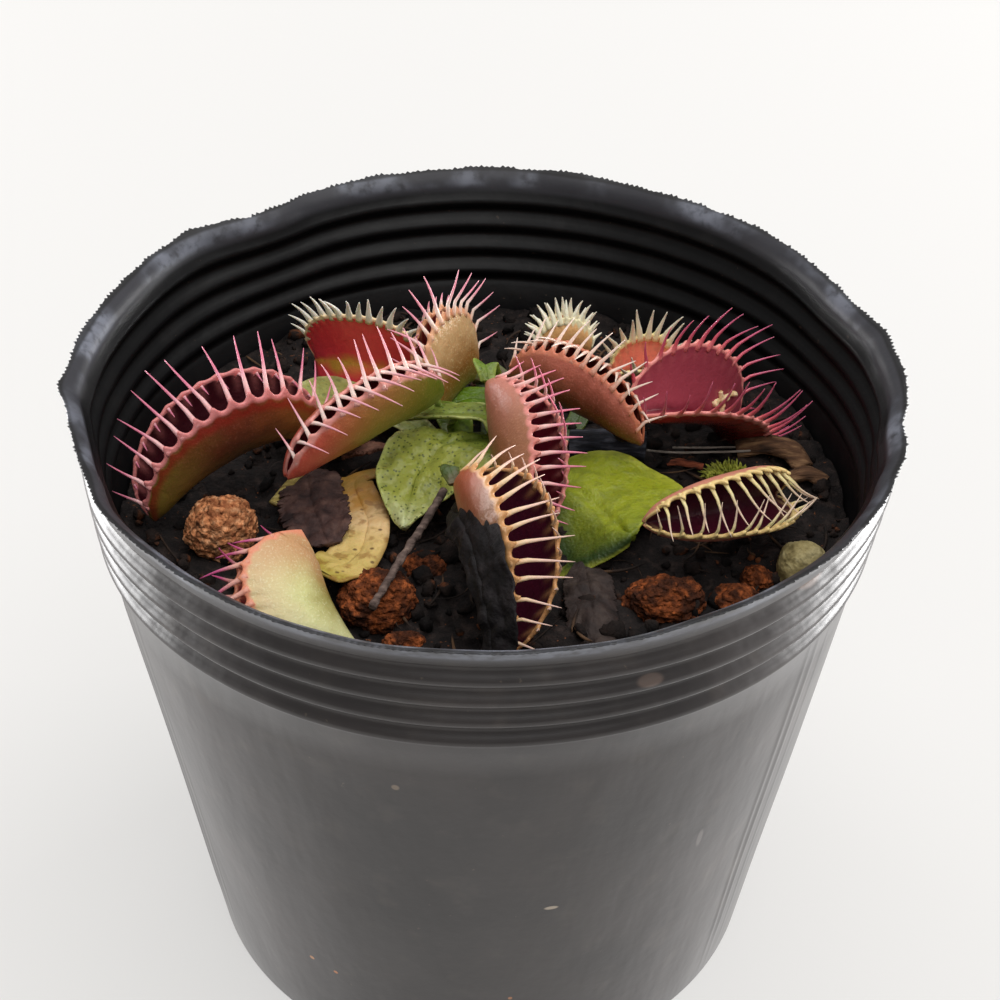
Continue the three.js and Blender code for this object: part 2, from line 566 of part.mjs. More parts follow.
add('pot', makePot(), POT_MATERIAL);
add('soil', mainBody(makeSoil(seats)), SOIL_MATERIAL);
add('crown', makeCrown(), CROWN_MATERIAL);
for (const leaf of LEAVES) {
  const neck = trapPoint(leaf, leaf.joins, 0);
  const away = neck.localAlong.clone().multiplyScalar(leaf.joins);
  const end = neck.point.clone().addScaledVector(away, NECK_GAP)
    .addScaledVector(neck.localMouth, -(leaf.drop ?? 0));
  const last = leaf.drop ? [end] : [end.clone().addScaledVector(away, NECK_RUN), end];
  add(`trap_${leaf.name}`, makeTrap(leaf), TRAP_MATERIAL);
  add(`blade_${leaf.name}`, makeBlade(leaf.blade, last.map((point) => point.toArray())), BLADE_MATERIAL);
}
for (const blade of BARE_BLADES) add(blade.name, makeBlade(blade, [blade.end]), BLADE_MATERIAL);
for (const { item, solid, material } of lumps) add(item.name, solid, material);
for (const leaf of LITTER) add(leaf.name, makeLitter(leaf), DEAD_MATERIAL);
add(TWIG.name, rod(TWIG.points, TWIG.radius), BARK_MATERIAL);
add(STRAW.name, rod(STRAW.points, STRAW.radius, 4), STRAW_MATERIAL);
add('moss_tuft', makeMoss(random), MOSS_MATERIAL);

export default group;
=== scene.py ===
# %% [markdown]
# # A Venus flytrap in a soft nursery pot
# The plant is a rosette: every leaf is a flat green blade that ends in a trap, two lobes hinged along a
# midrib with a comb of stiff teeth on each rim. It stands in dark peat in a thin black pot whose lip has been
# handled. Each piece here is a surface worked out with numpy on a grid of two parameters, because a leaf,
# a lip or a lobe is one smooth formula with a few small ones added to it.

import math

import bmesh
import bpy
import numpy as np
from mathutils import Matrix, Vector


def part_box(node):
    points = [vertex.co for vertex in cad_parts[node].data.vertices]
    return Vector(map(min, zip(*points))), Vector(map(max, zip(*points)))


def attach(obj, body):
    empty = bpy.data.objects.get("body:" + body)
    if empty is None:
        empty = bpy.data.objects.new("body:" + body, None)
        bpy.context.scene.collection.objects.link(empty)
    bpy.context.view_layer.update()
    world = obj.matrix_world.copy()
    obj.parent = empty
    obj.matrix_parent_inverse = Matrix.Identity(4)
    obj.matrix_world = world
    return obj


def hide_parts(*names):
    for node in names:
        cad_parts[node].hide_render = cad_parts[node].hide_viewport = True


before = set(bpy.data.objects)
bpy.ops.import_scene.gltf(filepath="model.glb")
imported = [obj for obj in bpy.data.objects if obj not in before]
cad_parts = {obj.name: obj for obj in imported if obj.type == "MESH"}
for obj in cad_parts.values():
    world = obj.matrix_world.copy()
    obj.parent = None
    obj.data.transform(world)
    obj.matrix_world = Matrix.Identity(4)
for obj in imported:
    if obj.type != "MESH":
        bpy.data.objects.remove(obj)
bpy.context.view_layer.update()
MM = 0.001

# %% [markdown]
# ## Tools for surfaces
# A grid of points becomes a mesh by joining neighbours with quads. Leaves are sheets with two faces, so one
# helper thickens any grid of middle points and rounds its long edges. Each point also carries named marks,
# such as how near it is to the rim, and the materials read those marks instead of a picture.

# %% Grids and meshes


def unit(vectors):
    """Each vector divided by its own length."""
    return vectors / np.maximum(np.linalg.norm(vectors, axis=-1, keepdims=True), 1e-12)


def blend(a, b, share):
    """a at share 0, b at share 1, and a straight line between."""
    return a + (b - a) * share


def ease(low, high, value):
    """0 below low, 1 above high, and the smooth curve 3x^2 - 2x^3 between."""
    x = np.clip((value - low) / (high - low), 0, 1)
    return x * x * (3 - 2 * x)


def quads(rows, columns, wrap=False):
    """Corner indices of every cell of a grid; wrap joins the last column to the first."""
    i, j = np.meshgrid(np.arange(rows - 1), np.arange(columns if wrap else columns - 1), indexing="ij")
    k = (j + 1) % columns
    cells = [i * columns + j, (i + 1) * columns + j, (i + 1) * columns + k, i * columns + k]
    return np.stack(cells, axis=-1).reshape(-1, 4)


def fan(ring, centre):
    """Triangles from each side of a ring of points to one centre point."""
    ring = np.asarray(ring)
    return np.stack([ring, np.roll(ring, -1), np.full(len(ring), centre)], axis=-1)


def closed_tube(rings, marks=None):
    """A grid of rings (rows x columns x 3), closed round each ring and by a fan at both ends."""
    rows, columns = rings.shape[:2]
    points = np.vstack([rings.reshape(-1, 3), rings[0].mean(axis=0), rings[-1].mean(axis=0)])
    first = np.arange(columns)
    last = (rows - 1) * columns + first
    faces = [quads(rows, columns, wrap=True), fan(first, rows * columns), fan(last, rows * columns + 1)]
    named = {}
    for name, grid in (marks or {}).items():
        grid = np.broadcast_to(grid, (rows, columns))
        named[name] = np.concatenate([grid.ravel(), [grid[0].mean(), grid[-1].mean()]])
    return points, faces, named


def thick_sheet(middle, thickness, marks=None, edge_steps=3):
    """A closed sheet round a grid of middle points: each face lies half a thickness along the normal, the
    long edges are half circles, and the mark "inside" falls from 1 on the front face to 0 on the back
    face."""
    along, across = np.gradient(middle, axis=0), np.gradient(middle, axis=1)
    normal = unit(np.cross(across, along))
    half = np.broadcast_to(thickness, middle.shape[:2])[..., None] / 2
    turn = np.linspace(0, np.pi, edge_steps + 2)[1:-1, None]

    def edge(column, outward):
        ring = np.cos(turn) * normal[:, column, None] + np.sin(turn) * outward[:, None]
        return middle[:, column, None] + half[:, column, None] * ring

    right = edge(-1, unit(across[:, -1]))
    left = edge(0, -unit(across[:, 0]))[:, ::-1]
    front, back = middle + normal * half, (middle - normal * half)[:, ::-1]
    rings = np.concatenate([front, right, back, left], axis=1)
    rows, columns = middle.shape[:2]
    fall = (1 + np.cos(turn[:, 0])) / 2
    inside = np.concatenate([np.ones(columns), fall, np.zeros(columns), fall[::-1]])
    named = {"inside": np.tile(inside, (rows, 1))}
    for name, grid in (marks or {}).items():
        grid = np.broadcast_to(grid, (rows, columns))
        right_edge, left_edge = (np.repeat(grid[:, [c]], edge_steps, axis=1) for c in (-1, 0))
        named[name] = np.concatenate([grid, right_edge, grid[:, ::-1], left_edge], axis=1)
    return closed_tube(rings, named)


def gather(parts):
    """Several (points, faces, marks) as one, with the corner indices moved along."""
    names = sorted({name for _, _, marks in parts for name in marks})
    points = np.vstack([part[0] for part in parts])
    starts = np.cumsum([0] + [len(part[0]) for part in parts[:-1]])
    faces = [face + start for (_, group, _), start in zip(parts, starts) for face in group]
    marks = {n: np.concatenate([m.get(n, np.zeros(len(p))) for p, _, m in parts]) for n in names}
    return points, faces, marks


def make_piece(name, part, material, node=None):
    """A mesh object from (points in millimetres, faces, marks), its doubles merged and its faces turned
    outward."""
    points, faces, marks = part
    mesh = bpy.data.meshes.new(name)
    mesh.vertices.add(len(points))
    mesh.vertices.foreach_set("co", (points * MM).astype(np.float32).ravel())
    corners = np.concatenate([face.ravel() for face in faces])
    sizes = np.concatenate([np.full(len(face), face.shape[1]) for face in faces])
    mesh.loops.add(len(corners))
    mesh.loops.foreach_set("vertex_index", corners.astype(np.int32))
    mesh.polygons.add(len(sizes))
    mesh.polygons.foreach_set("loop_start", (np.cumsum(sizes) - sizes).astype(np.int32))
    mesh.update(calc_edges=True)
    for mark, values in marks.items():
        mesh.attributes.new(mark, "FLOAT", "POINT").data.foreach_set("value", values.astype(np.float32))
    shape = bmesh.new()
    shape.from_mesh(mesh)
    bmesh.ops.remove_doubles(shape, verts=shape.verts, dist=2e-6)
    bmesh.ops.recalc_face_normals(shape, faces=shape.faces)
    shape.to_mesh(mesh)
    shape.free()
    mesh.shade_smooth()
    mesh.materials.append(material)
    piece = bpy.data.objects.new(name, mesh)
    bpy.context.scene.collection.objects.link(piece)
    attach(piece, "root")
    if node:
        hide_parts(node)
    print(f"{name}: {sum(s - 2 for s in sizes)} triangles")
    return piece


# %% Smooth lines and seeded noise


def smooth_line(points, t):
    """A centripetal Catmull-Rom line through the points, at t from 0 to 1: on each span a cubic that leaves
    and arrives with slopes taken from the neighbours, weighed by the square roots of the spans' lengths."""
    points = np.asarray(points, float)
    padded = np.vstack([2 * points[0] - points[1], points, 2 * points[-1] - points[-2]])
    place = np.asarray(t, float) * (len(points) - 1)
    k = np.minimum(place.astype(int), len(points) - 2)
    w = (place - k)[..., None]
    p0, p1, p2, p3 = (padded[k + m] for m in range(4))
    spans = ((p0, p1), (p1, p2), (p2, p3))
    d0, d1, d2 = (np.linalg.norm(b - a, axis=-1, keepdims=True) ** 0.5 for a, b in spans)
    leave = d1 * ((p1 - p0) / d0 - (p2 - p0) / (d0 + d1) + (p2 - p1) / d1)
    arrive = d1 * ((p2 - p1) / d1 - (p3 - p1) / (d1 + d2) + (p3 - p2) / d2)
    cubic = 2 * p1 - 2 * p2 + leave + arrive
    return p1 + leave * w + (-3 * p1 + 3 * p2 - 2 * leave - arrive) * w**2 + cubic * w**3


def lumpy(points, size, seed, layers=3):
    """Value noise about -1 to 1: random numbers on a cubic lattice of cells size wide, blended between the
    cell's corners by w = 3 f^2 - 2 f^3. Every layer is half as large and half as strong as the one before."""
    lattice = np.random.default_rng(seed).uniform(-1, 1, (32, 32, 32))
    total = np.zeros(points.shape[:-1])
    for layer in range(layers):
        place = points * 2**layer / size + 7.3 * layer
        cell = np.floor(place).astype(int)
        weight = (place - cell) ** 2 * (3 - 2 * (place - cell))
        for corner in np.ndindex(2, 2, 2):
            i, j, k = np.moveaxis((cell + corner) % 32, -1, 0)
            share = np.where(corner, weight, 1 - weight).prod(axis=-1)
            total += share * lattice[i, j, k] * 0.5**layer
    return total * 1.3


def random_turns(rng, count):
    """count random rotation matrices, from random unit quaternions."""
    w, x, y, z = unit(rng.normal(size=(count, 4))).T
    rows = [
        [1 - 2 * (y * y + z * z), 2 * (x * y - z * w), 2 * (x * z + y * w)],
        [2 * (x * y + z * w), 1 - 2 * (x * x + z * z), 2 * (y * z - x * w)],
        [2 * (x * z - y * w), 2 * (y * z + x * w), 1 - 2 * (x * x + y * y)],
    ]
    return np.moveaxis(np.array(rows), -1, 0)


# %% [markdown]
# ## Tools for materials
# A finish is a short recipe: read a mark or a noise, turn it into colours with a ramp, lay one colour over
# another, and add a fine bump. The helper class keeps each recipe to a few lines.

# %% Material recipes


def rgb(red, green, blue):
    """A colour given as 0-255 screen values, as the linear values that shaders use."""
    def linear(c):
        c /= 255
        return c / 12.92 if c <= 0.04045 else ((c + 0.055) / 1.055) ** 2.4

    return (linear(red), linear(green), linear(blue), 1)


class Recipe:
    """Builds one material: each method adds a node and gives back the socket to use next."""

    def __init__(self, name, roughness=0.5, specular=0.5, subsurface=0.0, depth=0.6, sheen=0.0):
        self.material = bpy.data.materials.new(name)
        self.material.use_nodes = True
        self.tree = self.material.node_tree
        self.shader = self.tree.nodes["Principled BSDF"]
        self.shader.inputs["Roughness"].default_value = roughness
        self.shader.inputs["Specular IOR Level"].default_value = specular
        self.shader.inputs["Subsurface Weight"].default_value = subsurface
        self.shader.inputs["Subsurface Scale"].default_value = depth * MM
        self.shader.inputs["Subsurface Radius"].default_value = (1, 0.5, 0.3)
        self.shader.inputs["Sheen Weight"].default_value = sheen
        self.place = self.tree.nodes.new("ShaderNodeTexCoord").outputs["Object"]

    def feed(self, socket, value):
        """A link if value is another node's socket, and a plain setting if it is a number or a colour."""
        if isinstance(value, bpy.types.NodeSocket):
            self.tree.links.new(value, socket)
        else:
            socket.default_value = value

    def mark(self, name):
        """A mark that the mesh carries at each point."""
        node = self.tree.nodes.new("ShaderNodeAttribute")
        node.attribute_name = name
        return node.outputs["Fac"]

    def noise(self, grain, detail=3, stretch=None):
        """Cloudy noise whose clouds are about grain millimetres across."""
        node = self.tree.nodes.new("ShaderNodeTexNoise")
        node.inputs["Scale"].default_value = 1 / (grain * MM)
        node.inputs["Detail"].default_value = detail
        self.feed(node.inputs["Vector"], self.stretched(stretch) if stretch else self.place)
        return node.outputs["Fac"]

    def cells(self, grain):
        """Distance to the nearest of scattered points about grain millimetres apart."""
        node = self.tree.nodes.new("ShaderNodeTexVoronoi")
        node.inputs["Scale"].default_value = 1 / (grain * MM)
        self.feed(node.inputs["Vector"], self.place)
        return node.outputs["Distance"]

    def stretched(self, factors):
        """The place in space, each coordinate times its factor."""
        node = self.tree.nodes.new("ShaderNodeMapping")
        node.inputs["Scale"].default_value = factors
        self.feed(node.inputs["Vector"], self.place)
        return node.outputs["Vector"]

    def height(self):
        """Height above the floor, in metres."""
        node = self.tree.nodes.new("ShaderNodeSeparateXYZ")
        self.feed(node.inputs[0], self.place)
        return node.outputs["Z"]

    def spot(self, at, size):
        """1 close to a point given in millimetres, 0 beyond an ellipsoid of that size around it."""
        node = self.tree.nodes.new("ShaderNodeMapping")
        node.inputs["Scale"].default_value = [1 / (half * MM) for half in size]
        node.inputs["Location"].default_value = [-place / half for place, half in zip(at, size)]
        self.feed(node.inputs["Vector"], self.place)
        length = self.tree.nodes.new("ShaderNodeVectorMath")
        length.operation = "LENGTH"
        self.feed(length.inputs[0], node.outputs["Vector"])
        return self.step(length.outputs["Value"], 1.0, 0.6)

    def math(self, operation, a, b=0.0):
        """One sum, product or other operation on two values."""
        node = self.tree.nodes.new("ShaderNodeMath")
        node.operation = operation
        self.feed(node.inputs[0], a)
        self.feed(node.inputs[1], b)
        return node.outputs[0]

    def step(self, value, low, high):
        """0 where value is below low, 1 above high, smooth between."""
        node = self.tree.nodes.new("ShaderNodeMapRange")
        node.interpolation_type = "SMOOTHSTEP"
        self.feed(node.inputs["Value"], value)
        node.inputs["From Min"].default_value = low
        node.inputs["From Max"].default_value = high
        return node.outputs["Result"]

    def ramp(self, value, *stops):
        """Colours by value: each stop is (place, colour)."""
        node = self.tree.nodes.new("ShaderNodeValToRGB")
        band = node.color_ramp
        band.elements[0].position, band.elements[0].color = stops[0]
        band.elements[1].position, band.elements[1].color = stops[-1]
        for place, colour in stops[1:-1]:
            band.elements.new(place).color = colour
        self.feed(node.inputs["Fac"], value)
        return node.outputs["Color"]

    def over(self, share, below, above):
        """The colour above laid over the colour below where share is 1."""
        node = self.tree.nodes.new("ShaderNodeMix")
        node.data_type = "RGBA"
        self.feed(node.inputs[0], share)
        self.feed(node.inputs[6], below)
        self.feed(node.inputs[7], above)
        return node.outputs[2]

    def tint(self, mask, strength, below, above):
        """The colour above laid over the colour below by mask x strength."""
        return self.over(self.math("MULTIPLY", mask, strength), below, above)

    def drift(self, grain, detail, strength):
        """(noise - 0.5) x strength, which moves a ramp's place a little to and fro."""
        return self.math("MULTIPLY", self.math("SUBTRACT", self.noise(grain, detail), 0.5), strength)

    def bump(self, height, depth, under=None):
        """Raises the surface by height times depth millimetres, in shading only."""
        node = self.tree.nodes.new("ShaderNodeBump")
        node.inputs["Distance"].default_value = depth * MM
        self.feed(node.inputs["Height"], height)
        if under:
            self.feed(node.inputs["Normal"], under)
        return node.outputs["Normal"]

    def done(self, colour, normal=None, roughness=None):
        """Connects colour, bump and roughness to the shader, and gives back the material."""
        self.feed(self.shader.inputs["Base Color"], colour)
        if normal:
            self.feed(self.shader.inputs["Normal"], normal)
        if roughness:
            self.feed(self.shader.inputs["Roughness"], roughness)
        return self.material


# %% [markdown]
# ## The pot
# Soft nursery pots are blown or pressed from thin black sheet: a slightly tapered wall, a band of rounded
# ribs that stiffens the top, and a flared lip with a ragged trimmed edge. The wall is a profile carried round
# the axis, and the handling is added to its radius as a few dents that fade out downwards.

# %% Pot sizes
POT_HEIGHT, RIM_RADIUS, BASE_RADIUS, WALL = 74, 45, 33, 1
LIP_DROP, LIP_FLARE = 1.8, 0.7
RIB_BOTTOM, RIB_TOP, RIB_COUNT, RIB_DEPTH = 59.5, 71.5, 4, 0.55
FOOT_WIDTH, FOOT_RISE = 3.2, 2.4
DRAIN_COUNT, DRAIN_RADIUS, DRAIN_CIRCLE = 8, 2.2, 20
SOIL_LEVEL, SOIL_MOUND = 56.6, 1
GAP = 0.3
ROUND_STEPS = 864

# angle, width in degrees, and depth in millimetres of each dent in the lip
DENTS = [(128, 9, -1.5), (146, 9, 0.7), (196, 10, -1.1), (24, 9, -0.9), (350, 5, -0.8)]
# smaller kinks that only the lip itself has
KINKS = [(140, 4.5, 0.3), (120, 3.5, 0.4), (184, 3, 0.5), (206, 3.5, -0.45), (12, 3, 0.4), (338, 3, -0.4),
         (90, 14, 0.3), (62, 5, -0.25), (225, 6, -0.3), (300, 12, -0.3)]
# thin ridges up the wall, where the mould's halves met
SEAMS = [(203.5, 0.5, 0.14), (206.5, 0.6, 0.12), (209.5, 0.4, 0.07), (322.5, 0.5, 0.12), (325, 0.6, 0.14),
         (329, 0.4, 0.08), (23, 0.5, 0.12), (26, 0.6, 0.12), (143, 0.5, 0.12), (146, 0.6, 0.12)]


def bell(angle, dents):
    """Sum of depth x exp(-(turn from the dent / width)^2) over the dents, angles in degrees."""
    total = np.zeros_like(angle)
    for at, wide, depth in dents:
        turn = (angle - at + 540) % 360 - 180
        total += depth * np.exp(-((turn / wide) ** 2))
    return total


def pot_radius(z):
    """Outside radius: a straight taper, plus a sine of four waves in the ribbed band, plus the flare of the
    lip."""
    straight = blend(BASE_RADIUS, RIM_RADIUS - LIP_FLARE, z / POT_HEIGHT)
    band = (z - RIB_BOTTOM) / (RIB_TOP - RIB_BOTTOM)
    inside_band = (band > 0) & (band < 1)
    rib = np.where(inside_band, RIB_DEPTH * np.sin(2 * np.pi * RIB_COUNT * band), 0)
    flare = np.clip((z - (POT_HEIGHT - LIP_DROP)) / LIP_DROP, 0, 1)
    return straight + rib + LIP_FLARE * flare


def carried_round(profile, steps, dent=None):
    """A profile of (radius, height) pairs carried round the axis; dent gives what it adds to radius and
    height."""
    angle = np.linspace(0, 2 * np.pi, steps, endpoint=False)
    radius, height = (np.repeat(column[:, None], steps, axis=1) for column in np.asarray(profile, float).T)
    if dent:
        outward, upward = dent(np.degrees(angle)[None, :], height, radius)
        radius, height = radius + outward, height + upward
    return np.stack([radius * np.cos(angle), radius * np.sin(angle), height], -1)


def pot_dent(angle, height, radius):
    """Outward: dents times (height above the soil as a share of the free wall)^1.5, kinks near the lip only,
    mould seams below the ribs, a faint wobble of the whole wall, and saw teeth on the trimmed edge, out on
    every second step by a random share. Upward: the lip's slow waves and the same saw teeth."""
    rise = np.clip((height - SOIL_LEVEL - 1) / (POT_HEIGHT - SOIL_LEVEL - 1), 0, 1)
    lip = ease(POT_HEIGHT - 5, POT_HEIGHT, height)
    turn = np.radians(angle)
    wobble = 0.10 * np.sin(3 * turn + 0.05 * height) + 0.06 * np.sin(7 * turn + 0.11 * height + 1)
    below_ribs = (1 - ease(54, 59, height)) * (radius > pot_radius(height) - 0.5)
    seams = bell(angle, SEAMS) * ease(4, 9, height) * below_ribs
    rng = np.random.default_rng(5)
    steps = angle.shape[1]
    slow = np.convolve(np.tile(rng.normal(0, 1, steps), 3), np.ones(9) / 9, "same")[steps:2 * steps]
    saw = rng.uniform(0.1, 1, steps) * (np.arange(steps) % 2) + 0.7 * slow
    edge = ease(POT_HEIGHT - 0.35, POT_HEIGHT - 0.05, height) * (radius > RIM_RADIUS - 0.55)
    dented = bell(angle, DENTS) * rise**1.5 + bell(angle, KINKS) * lip
    outward = dented + wobble * ease(3, 30, height) + seams
    waves = 0.10 * np.sin(5 * turn + 1) + 0.06 * np.sin(11 * turn) + 0.05 * np.sin(23 * turn + 2)
    return outward + 0.30 * saw * edge, waves * lip + 0.16 * saw * edge


def drained_floor(inner, outer, top, bottom, steps=10):
    """The flat ring of the floor that holds the drains. Each drain has one sector of the ring; straight lines
    run from the sector's outline to the hole's circle on both faces, and the hole's wall joins the two
    circles."""
    parts = []
    outer_steps = ROUND_STEPS // DRAIN_COUNT + 1
    for k in range(DRAIN_COUNT):
        first, last = (2 * np.pi * (k + side) / DRAIN_COUNT for side in (0, 1))
        share = np.linspace(0, 1, steps)[:-1]
        arc = np.concatenate([np.linspace(first, last, outer_steps)[:-1], np.full(steps - 1, last),
                              blend(last, first, share), np.full(steps - 1, first)])
        reach = np.concatenate([np.full(outer_steps - 1, outer), blend(outer, inner, share),
                                np.full(steps - 1, inner), blend(inner, outer, share)])
        outline = np.stack([reach * np.cos(arc), reach * np.sin(arc)], -1)
        middle = (first + last) / 2
        centre = DRAIN_CIRCLE * np.array([np.cos(middle), np.sin(middle)])
        hole = centre + DRAIN_RADIUS * unit(outline - centre)
        rows = [(outline, top), (blend(outline, hole, 0.5), top), (hole, top), (hole, bottom),
                (blend(outline, hole, 0.5), bottom), (outline, bottom)]
        grid = np.stack([np.column_stack([xy, np.full(len(xy), z)]) for xy, z in rows])
        parts.append((grid.reshape(-1, 3), [quads(len(rows), len(outline), wrap=True)], {}))
    return parts


def pot_shape():
    """Outside from the foot up, over the flared lip, down the inside, and the floor with its drains."""
    floor_top = FOOT_RISE + WALL
    ring_inner, ring_outer = 12, 28
    ribs = np.linspace(RIB_BOTTOM, RIB_TOP, 33)
    rise = np.concatenate([np.linspace(0.4, RIB_BOTTOM, 13)[:-1], ribs, [72.2, 72.9, 73.5, 73.85]])
    outside = [(BASE_RADIUS - 0.3, 0), (BASE_RADIUS, 0.15)] + list(zip(pot_radius(rise), rise))
    lip = [(RIM_RADIUS - 0.05, 73.97), (RIM_RADIUS - 0.15, 74.0), (RIM_RADIUS - 0.4, 73.98),
           (RIM_RADIUS - 0.65, 73.8), (RIM_RADIUS - 1.15, 73.45), (RIM_RADIUS - 1.6, 72.95),
           (RIM_RADIUS - 1.85, 72.3)]
    down = np.append(ribs[::-1], [54, 30])
    inside = [(pot_radius(z) - WALL, z) for z in down]
    inside += [(pot_radius(floor_top) - WALL, floor_top), (ring_outer, floor_top)]
    wall = outside + lip + inside
    under = [(ring_outer, FOOT_RISE), (BASE_RADIUS - FOOT_WIDTH - 1, FOOT_RISE),
             (BASE_RADIUS - FOOT_WIDTH, 0), (BASE_RADIUS - 0.3, 0)]
    shell, foot = carried_round(wall, ROUND_STEPS, pot_dent), carried_round(under, ROUND_STEPS)
    parts = [(g.reshape(-1, 3), [quads(*g.shape[:2], wrap=True)], {}) for g in (shell, foot)]
    hub_steps = DRAIN_COUNT * 9
    for z in (floor_top, FOOT_RISE):
        disc = carried_round([(0, z), (ring_inner, z)], hub_steps)
        parts.append((disc.reshape(-1, 3), [quads(2, hub_steps, wrap=True)], {}))
    return gather(parts + drained_floor(ring_inner, ring_outer, floor_top, FOOT_RISE))


# %% Pot finish
def painted_lip_sheen(r, colour):
    """The lip with a painted highlight, a paler grey band and bluish-grey patches where it catches the light,
    and a dark cut edge.
    """
    # painted highlight: bluish-grey patches where the flared lip catches the light
    sheen_patches = r.step(r.height(), 72.1 * MM, 72.9 * MM)
    sheen_patches = r.math("MULTIPLY", sheen_patches, r.step(r.noise(11, 3), 0.45, 0.62))
    sheen_patches = r.math("MULTIPLY", sheen_patches, r.step(r.noise(1.3, 4), 0.2, 0.6))
    # painted highlight: the whole lip lifted to a paler grey
    band = r.step(r.height(), 71.6 * MM, 72.4 * MM)
    colour = r.tint(band, 0.55, colour, rgb(74, 74, 80))
    colour = r.tint(sheen_patches, 0.75, colour, rgb(128, 132, 144))
    trim = r.step(r.height(), 73.75 * MM, 74.0 * MM)
    return r.tint(trim, 0.8, colour, rgb(24, 23, 23))


# specks, stains and scratches on the wall: angle, height, half width, half height, colour
SCRATCHES = [(242.5, 13.5, 0.35, 0.3, (196, 120, 60)), (237.4, 14.2, 0.4, 0.35, (190, 130, 80)),
             (275.6, 14.0, 0.3, 0.3, (186, 120, 70)), (281.4, 31.3, 0.9, 0.35, (186, 170, 150)),
             (316.9, 70.7, 2.4, 0.8, (120, 104, 96)), (291.3, 66.9, 1.6, 0.7, (104, 88, 80)),
             (307.7, 34.7, 0.5, 2.2, (96, 90, 88)), (258, 52, 0.5, 0.5, (126, 110, 92)),
             (263, 8, 0.3, 0.5, (150, 128, 104)), (40, 30, 0.5, 1.4, (96, 90, 88)),
             (150, 46, 0.6, 0.5, (140, 118, 96))]


def outer_sheet():
    """The outside of soft black plastic: satin under a thin film of warm dust, a few specks of soil on it."""
    r = Recipe("outer_sheet", specular=0.5, sheen=0.16)
    dust = r.step(r.noise(14, 4), 0.3, 0.75)
    colour = r.over(dust, rgb(38, 33, 33), rgb(52, 46, 45))
    haze = r.step(r.noise(4, 3), 0.52, 0.8)
    colour = r.tint(haze, 0.3, colour, rgb(84, 76, 70))
    for angle, height, across, tall, tone in SCRATCHES:
        turn, radius = math.radians(angle), float(pot_radius(np.array(height)))
        spot = r.spot((radius * math.cos(turn), radius * math.sin(turn), height), (across, across, tall))
        colour = r.tint(spot, 0.8, colour, rgb(*tone))
    speck = r.step(r.noise(0.9, 2), 0.74, 0.79)
    colour = r.tint(speck, 0.3, colour, rgb(116, 102, 88))
    gloss = r.math("ADD", r.math("MULTIPLY", r.noise(9, 3), 0.10), 0.36)
    relief = r.bump(r.noise(7, 3, stretch=(1, 1, 0.35)), 0.25, r.bump(r.noise(1.2, 4), 0.02))
    return r.done(painted_lip_sheen(r, colour), relief, gloss)


def inner_sheet():
    """The inside: clean, nearly black, with a soft shine on the ribs and a little peat dust."""
    r = Recipe("inner_sheet", specular=0.25)
    colour = r.over(r.step(r.noise(4, 5), 0.5, 0.75), rgb(13, 13, 15), rgb(22, 21, 22))
    grains = r.step(r.noise(0.8, 2), 0.73, 0.77)
    colour = r.tint(grains, 0.5, colour, rgb(78, 64, 54))
    gloss = r.math("ADD", r.math("MULTIPLY", r.noise(2.5, 4), 0.16), 0.36)
    return r.done(painted_lip_sheen(r, colour), r.bump(r.noise(5, 4), 0.2), gloss)


pot = make_piece("pot_shell", pot_shape(), outer_sheet(), "pot")
pot.data.materials.append(inner_sheet())
faces = len(pot.data.polygons)
centre, normal = np.zeros(faces * 3), np.zeros(faces * 3)
pot.data.polygons.foreach_get("center", centre)
pot.data.polygons.foreach_get("normal", normal)
centre, normal = centre.reshape(-1, 3), normal.reshape(-1, 3)
inward = (centre[:, :2] * normal[:, :2]).sum(axis=1) < -1e-4
pot.data.polygons.foreach_set("material_index", (inward | (normal[:, 2] > 0.9)).astype(np.int32))
print("pot faces that look inward:", int(inward.sum()))

# %% [markdown]
# ## The peat
# Peat is crumbs and fibres. The block's top is a height map: every crumb lifts the ground to the top of a
# squashed ball, and larger crumbs come first. Loose crumbs and fibres lie on it as small solids of their own.

# %% Peat surface
MAP_STEPS, MAP_REACH = 520, 45.0
CRUMB_SHARE, CRUMB_MEAN = 0.9, 0.9


def crumb_map(seed=11):
    """Height of the crumbs over a square: for each crumb, height x sqrt(1 - (distance / radius)^2), the
    highest wins."""
    rng = np.random.default_rng(seed)
    ground = np.zeros((MAP_STEPS, MAP_STEPS))
    cell = 2 * MAP_REACH / MAP_STEPS
    for count, low, high in ((260, 2.0, 4.2), (1500, 0.9, 2.0), (5200, 0.35, 0.9)):
        centres = rng.uniform(-MAP_REACH, MAP_REACH, (count, 2))
        sizes = rng.uniform(low, high, count)
        stretch = rng.uniform(0.6, 1.5, count)
        for (x, y), size, long in zip(centres, sizes, stretch):
            reach = size * max(long, 1 / long)
            i0, i1 = (int(np.clip((c + MAP_REACH) / cell, 0, MAP_STEPS)) for c in (x - reach, x + reach))
            j0, j1 = (int(np.clip((c + MAP_REACH) / cell, 0, MAP_STEPS)) for c in (y - reach, y + reach))
            if i0 >= i1 or j0 >= j1:
                continue
            px = (np.arange(i0, i1) + 0.5) * cell - MAP_REACH - x
            py = (np.arange(j0, j1) + 0.5) * cell - MAP_REACH - y
            away = (px[:, None] / long) ** 2 + (py[None, :] * long) ** 2
            dome = 0.55 * np.sqrt(np.clip(size**2 - away, 0, None))
            patch = ground[i0:i1, j0:j1]
            base = patch.mean() * 0.5
            np.maximum(patch, np.where(dome > 0, base + dome, 0), out=patch)
    return ground


CRUMBS = crumb_map()


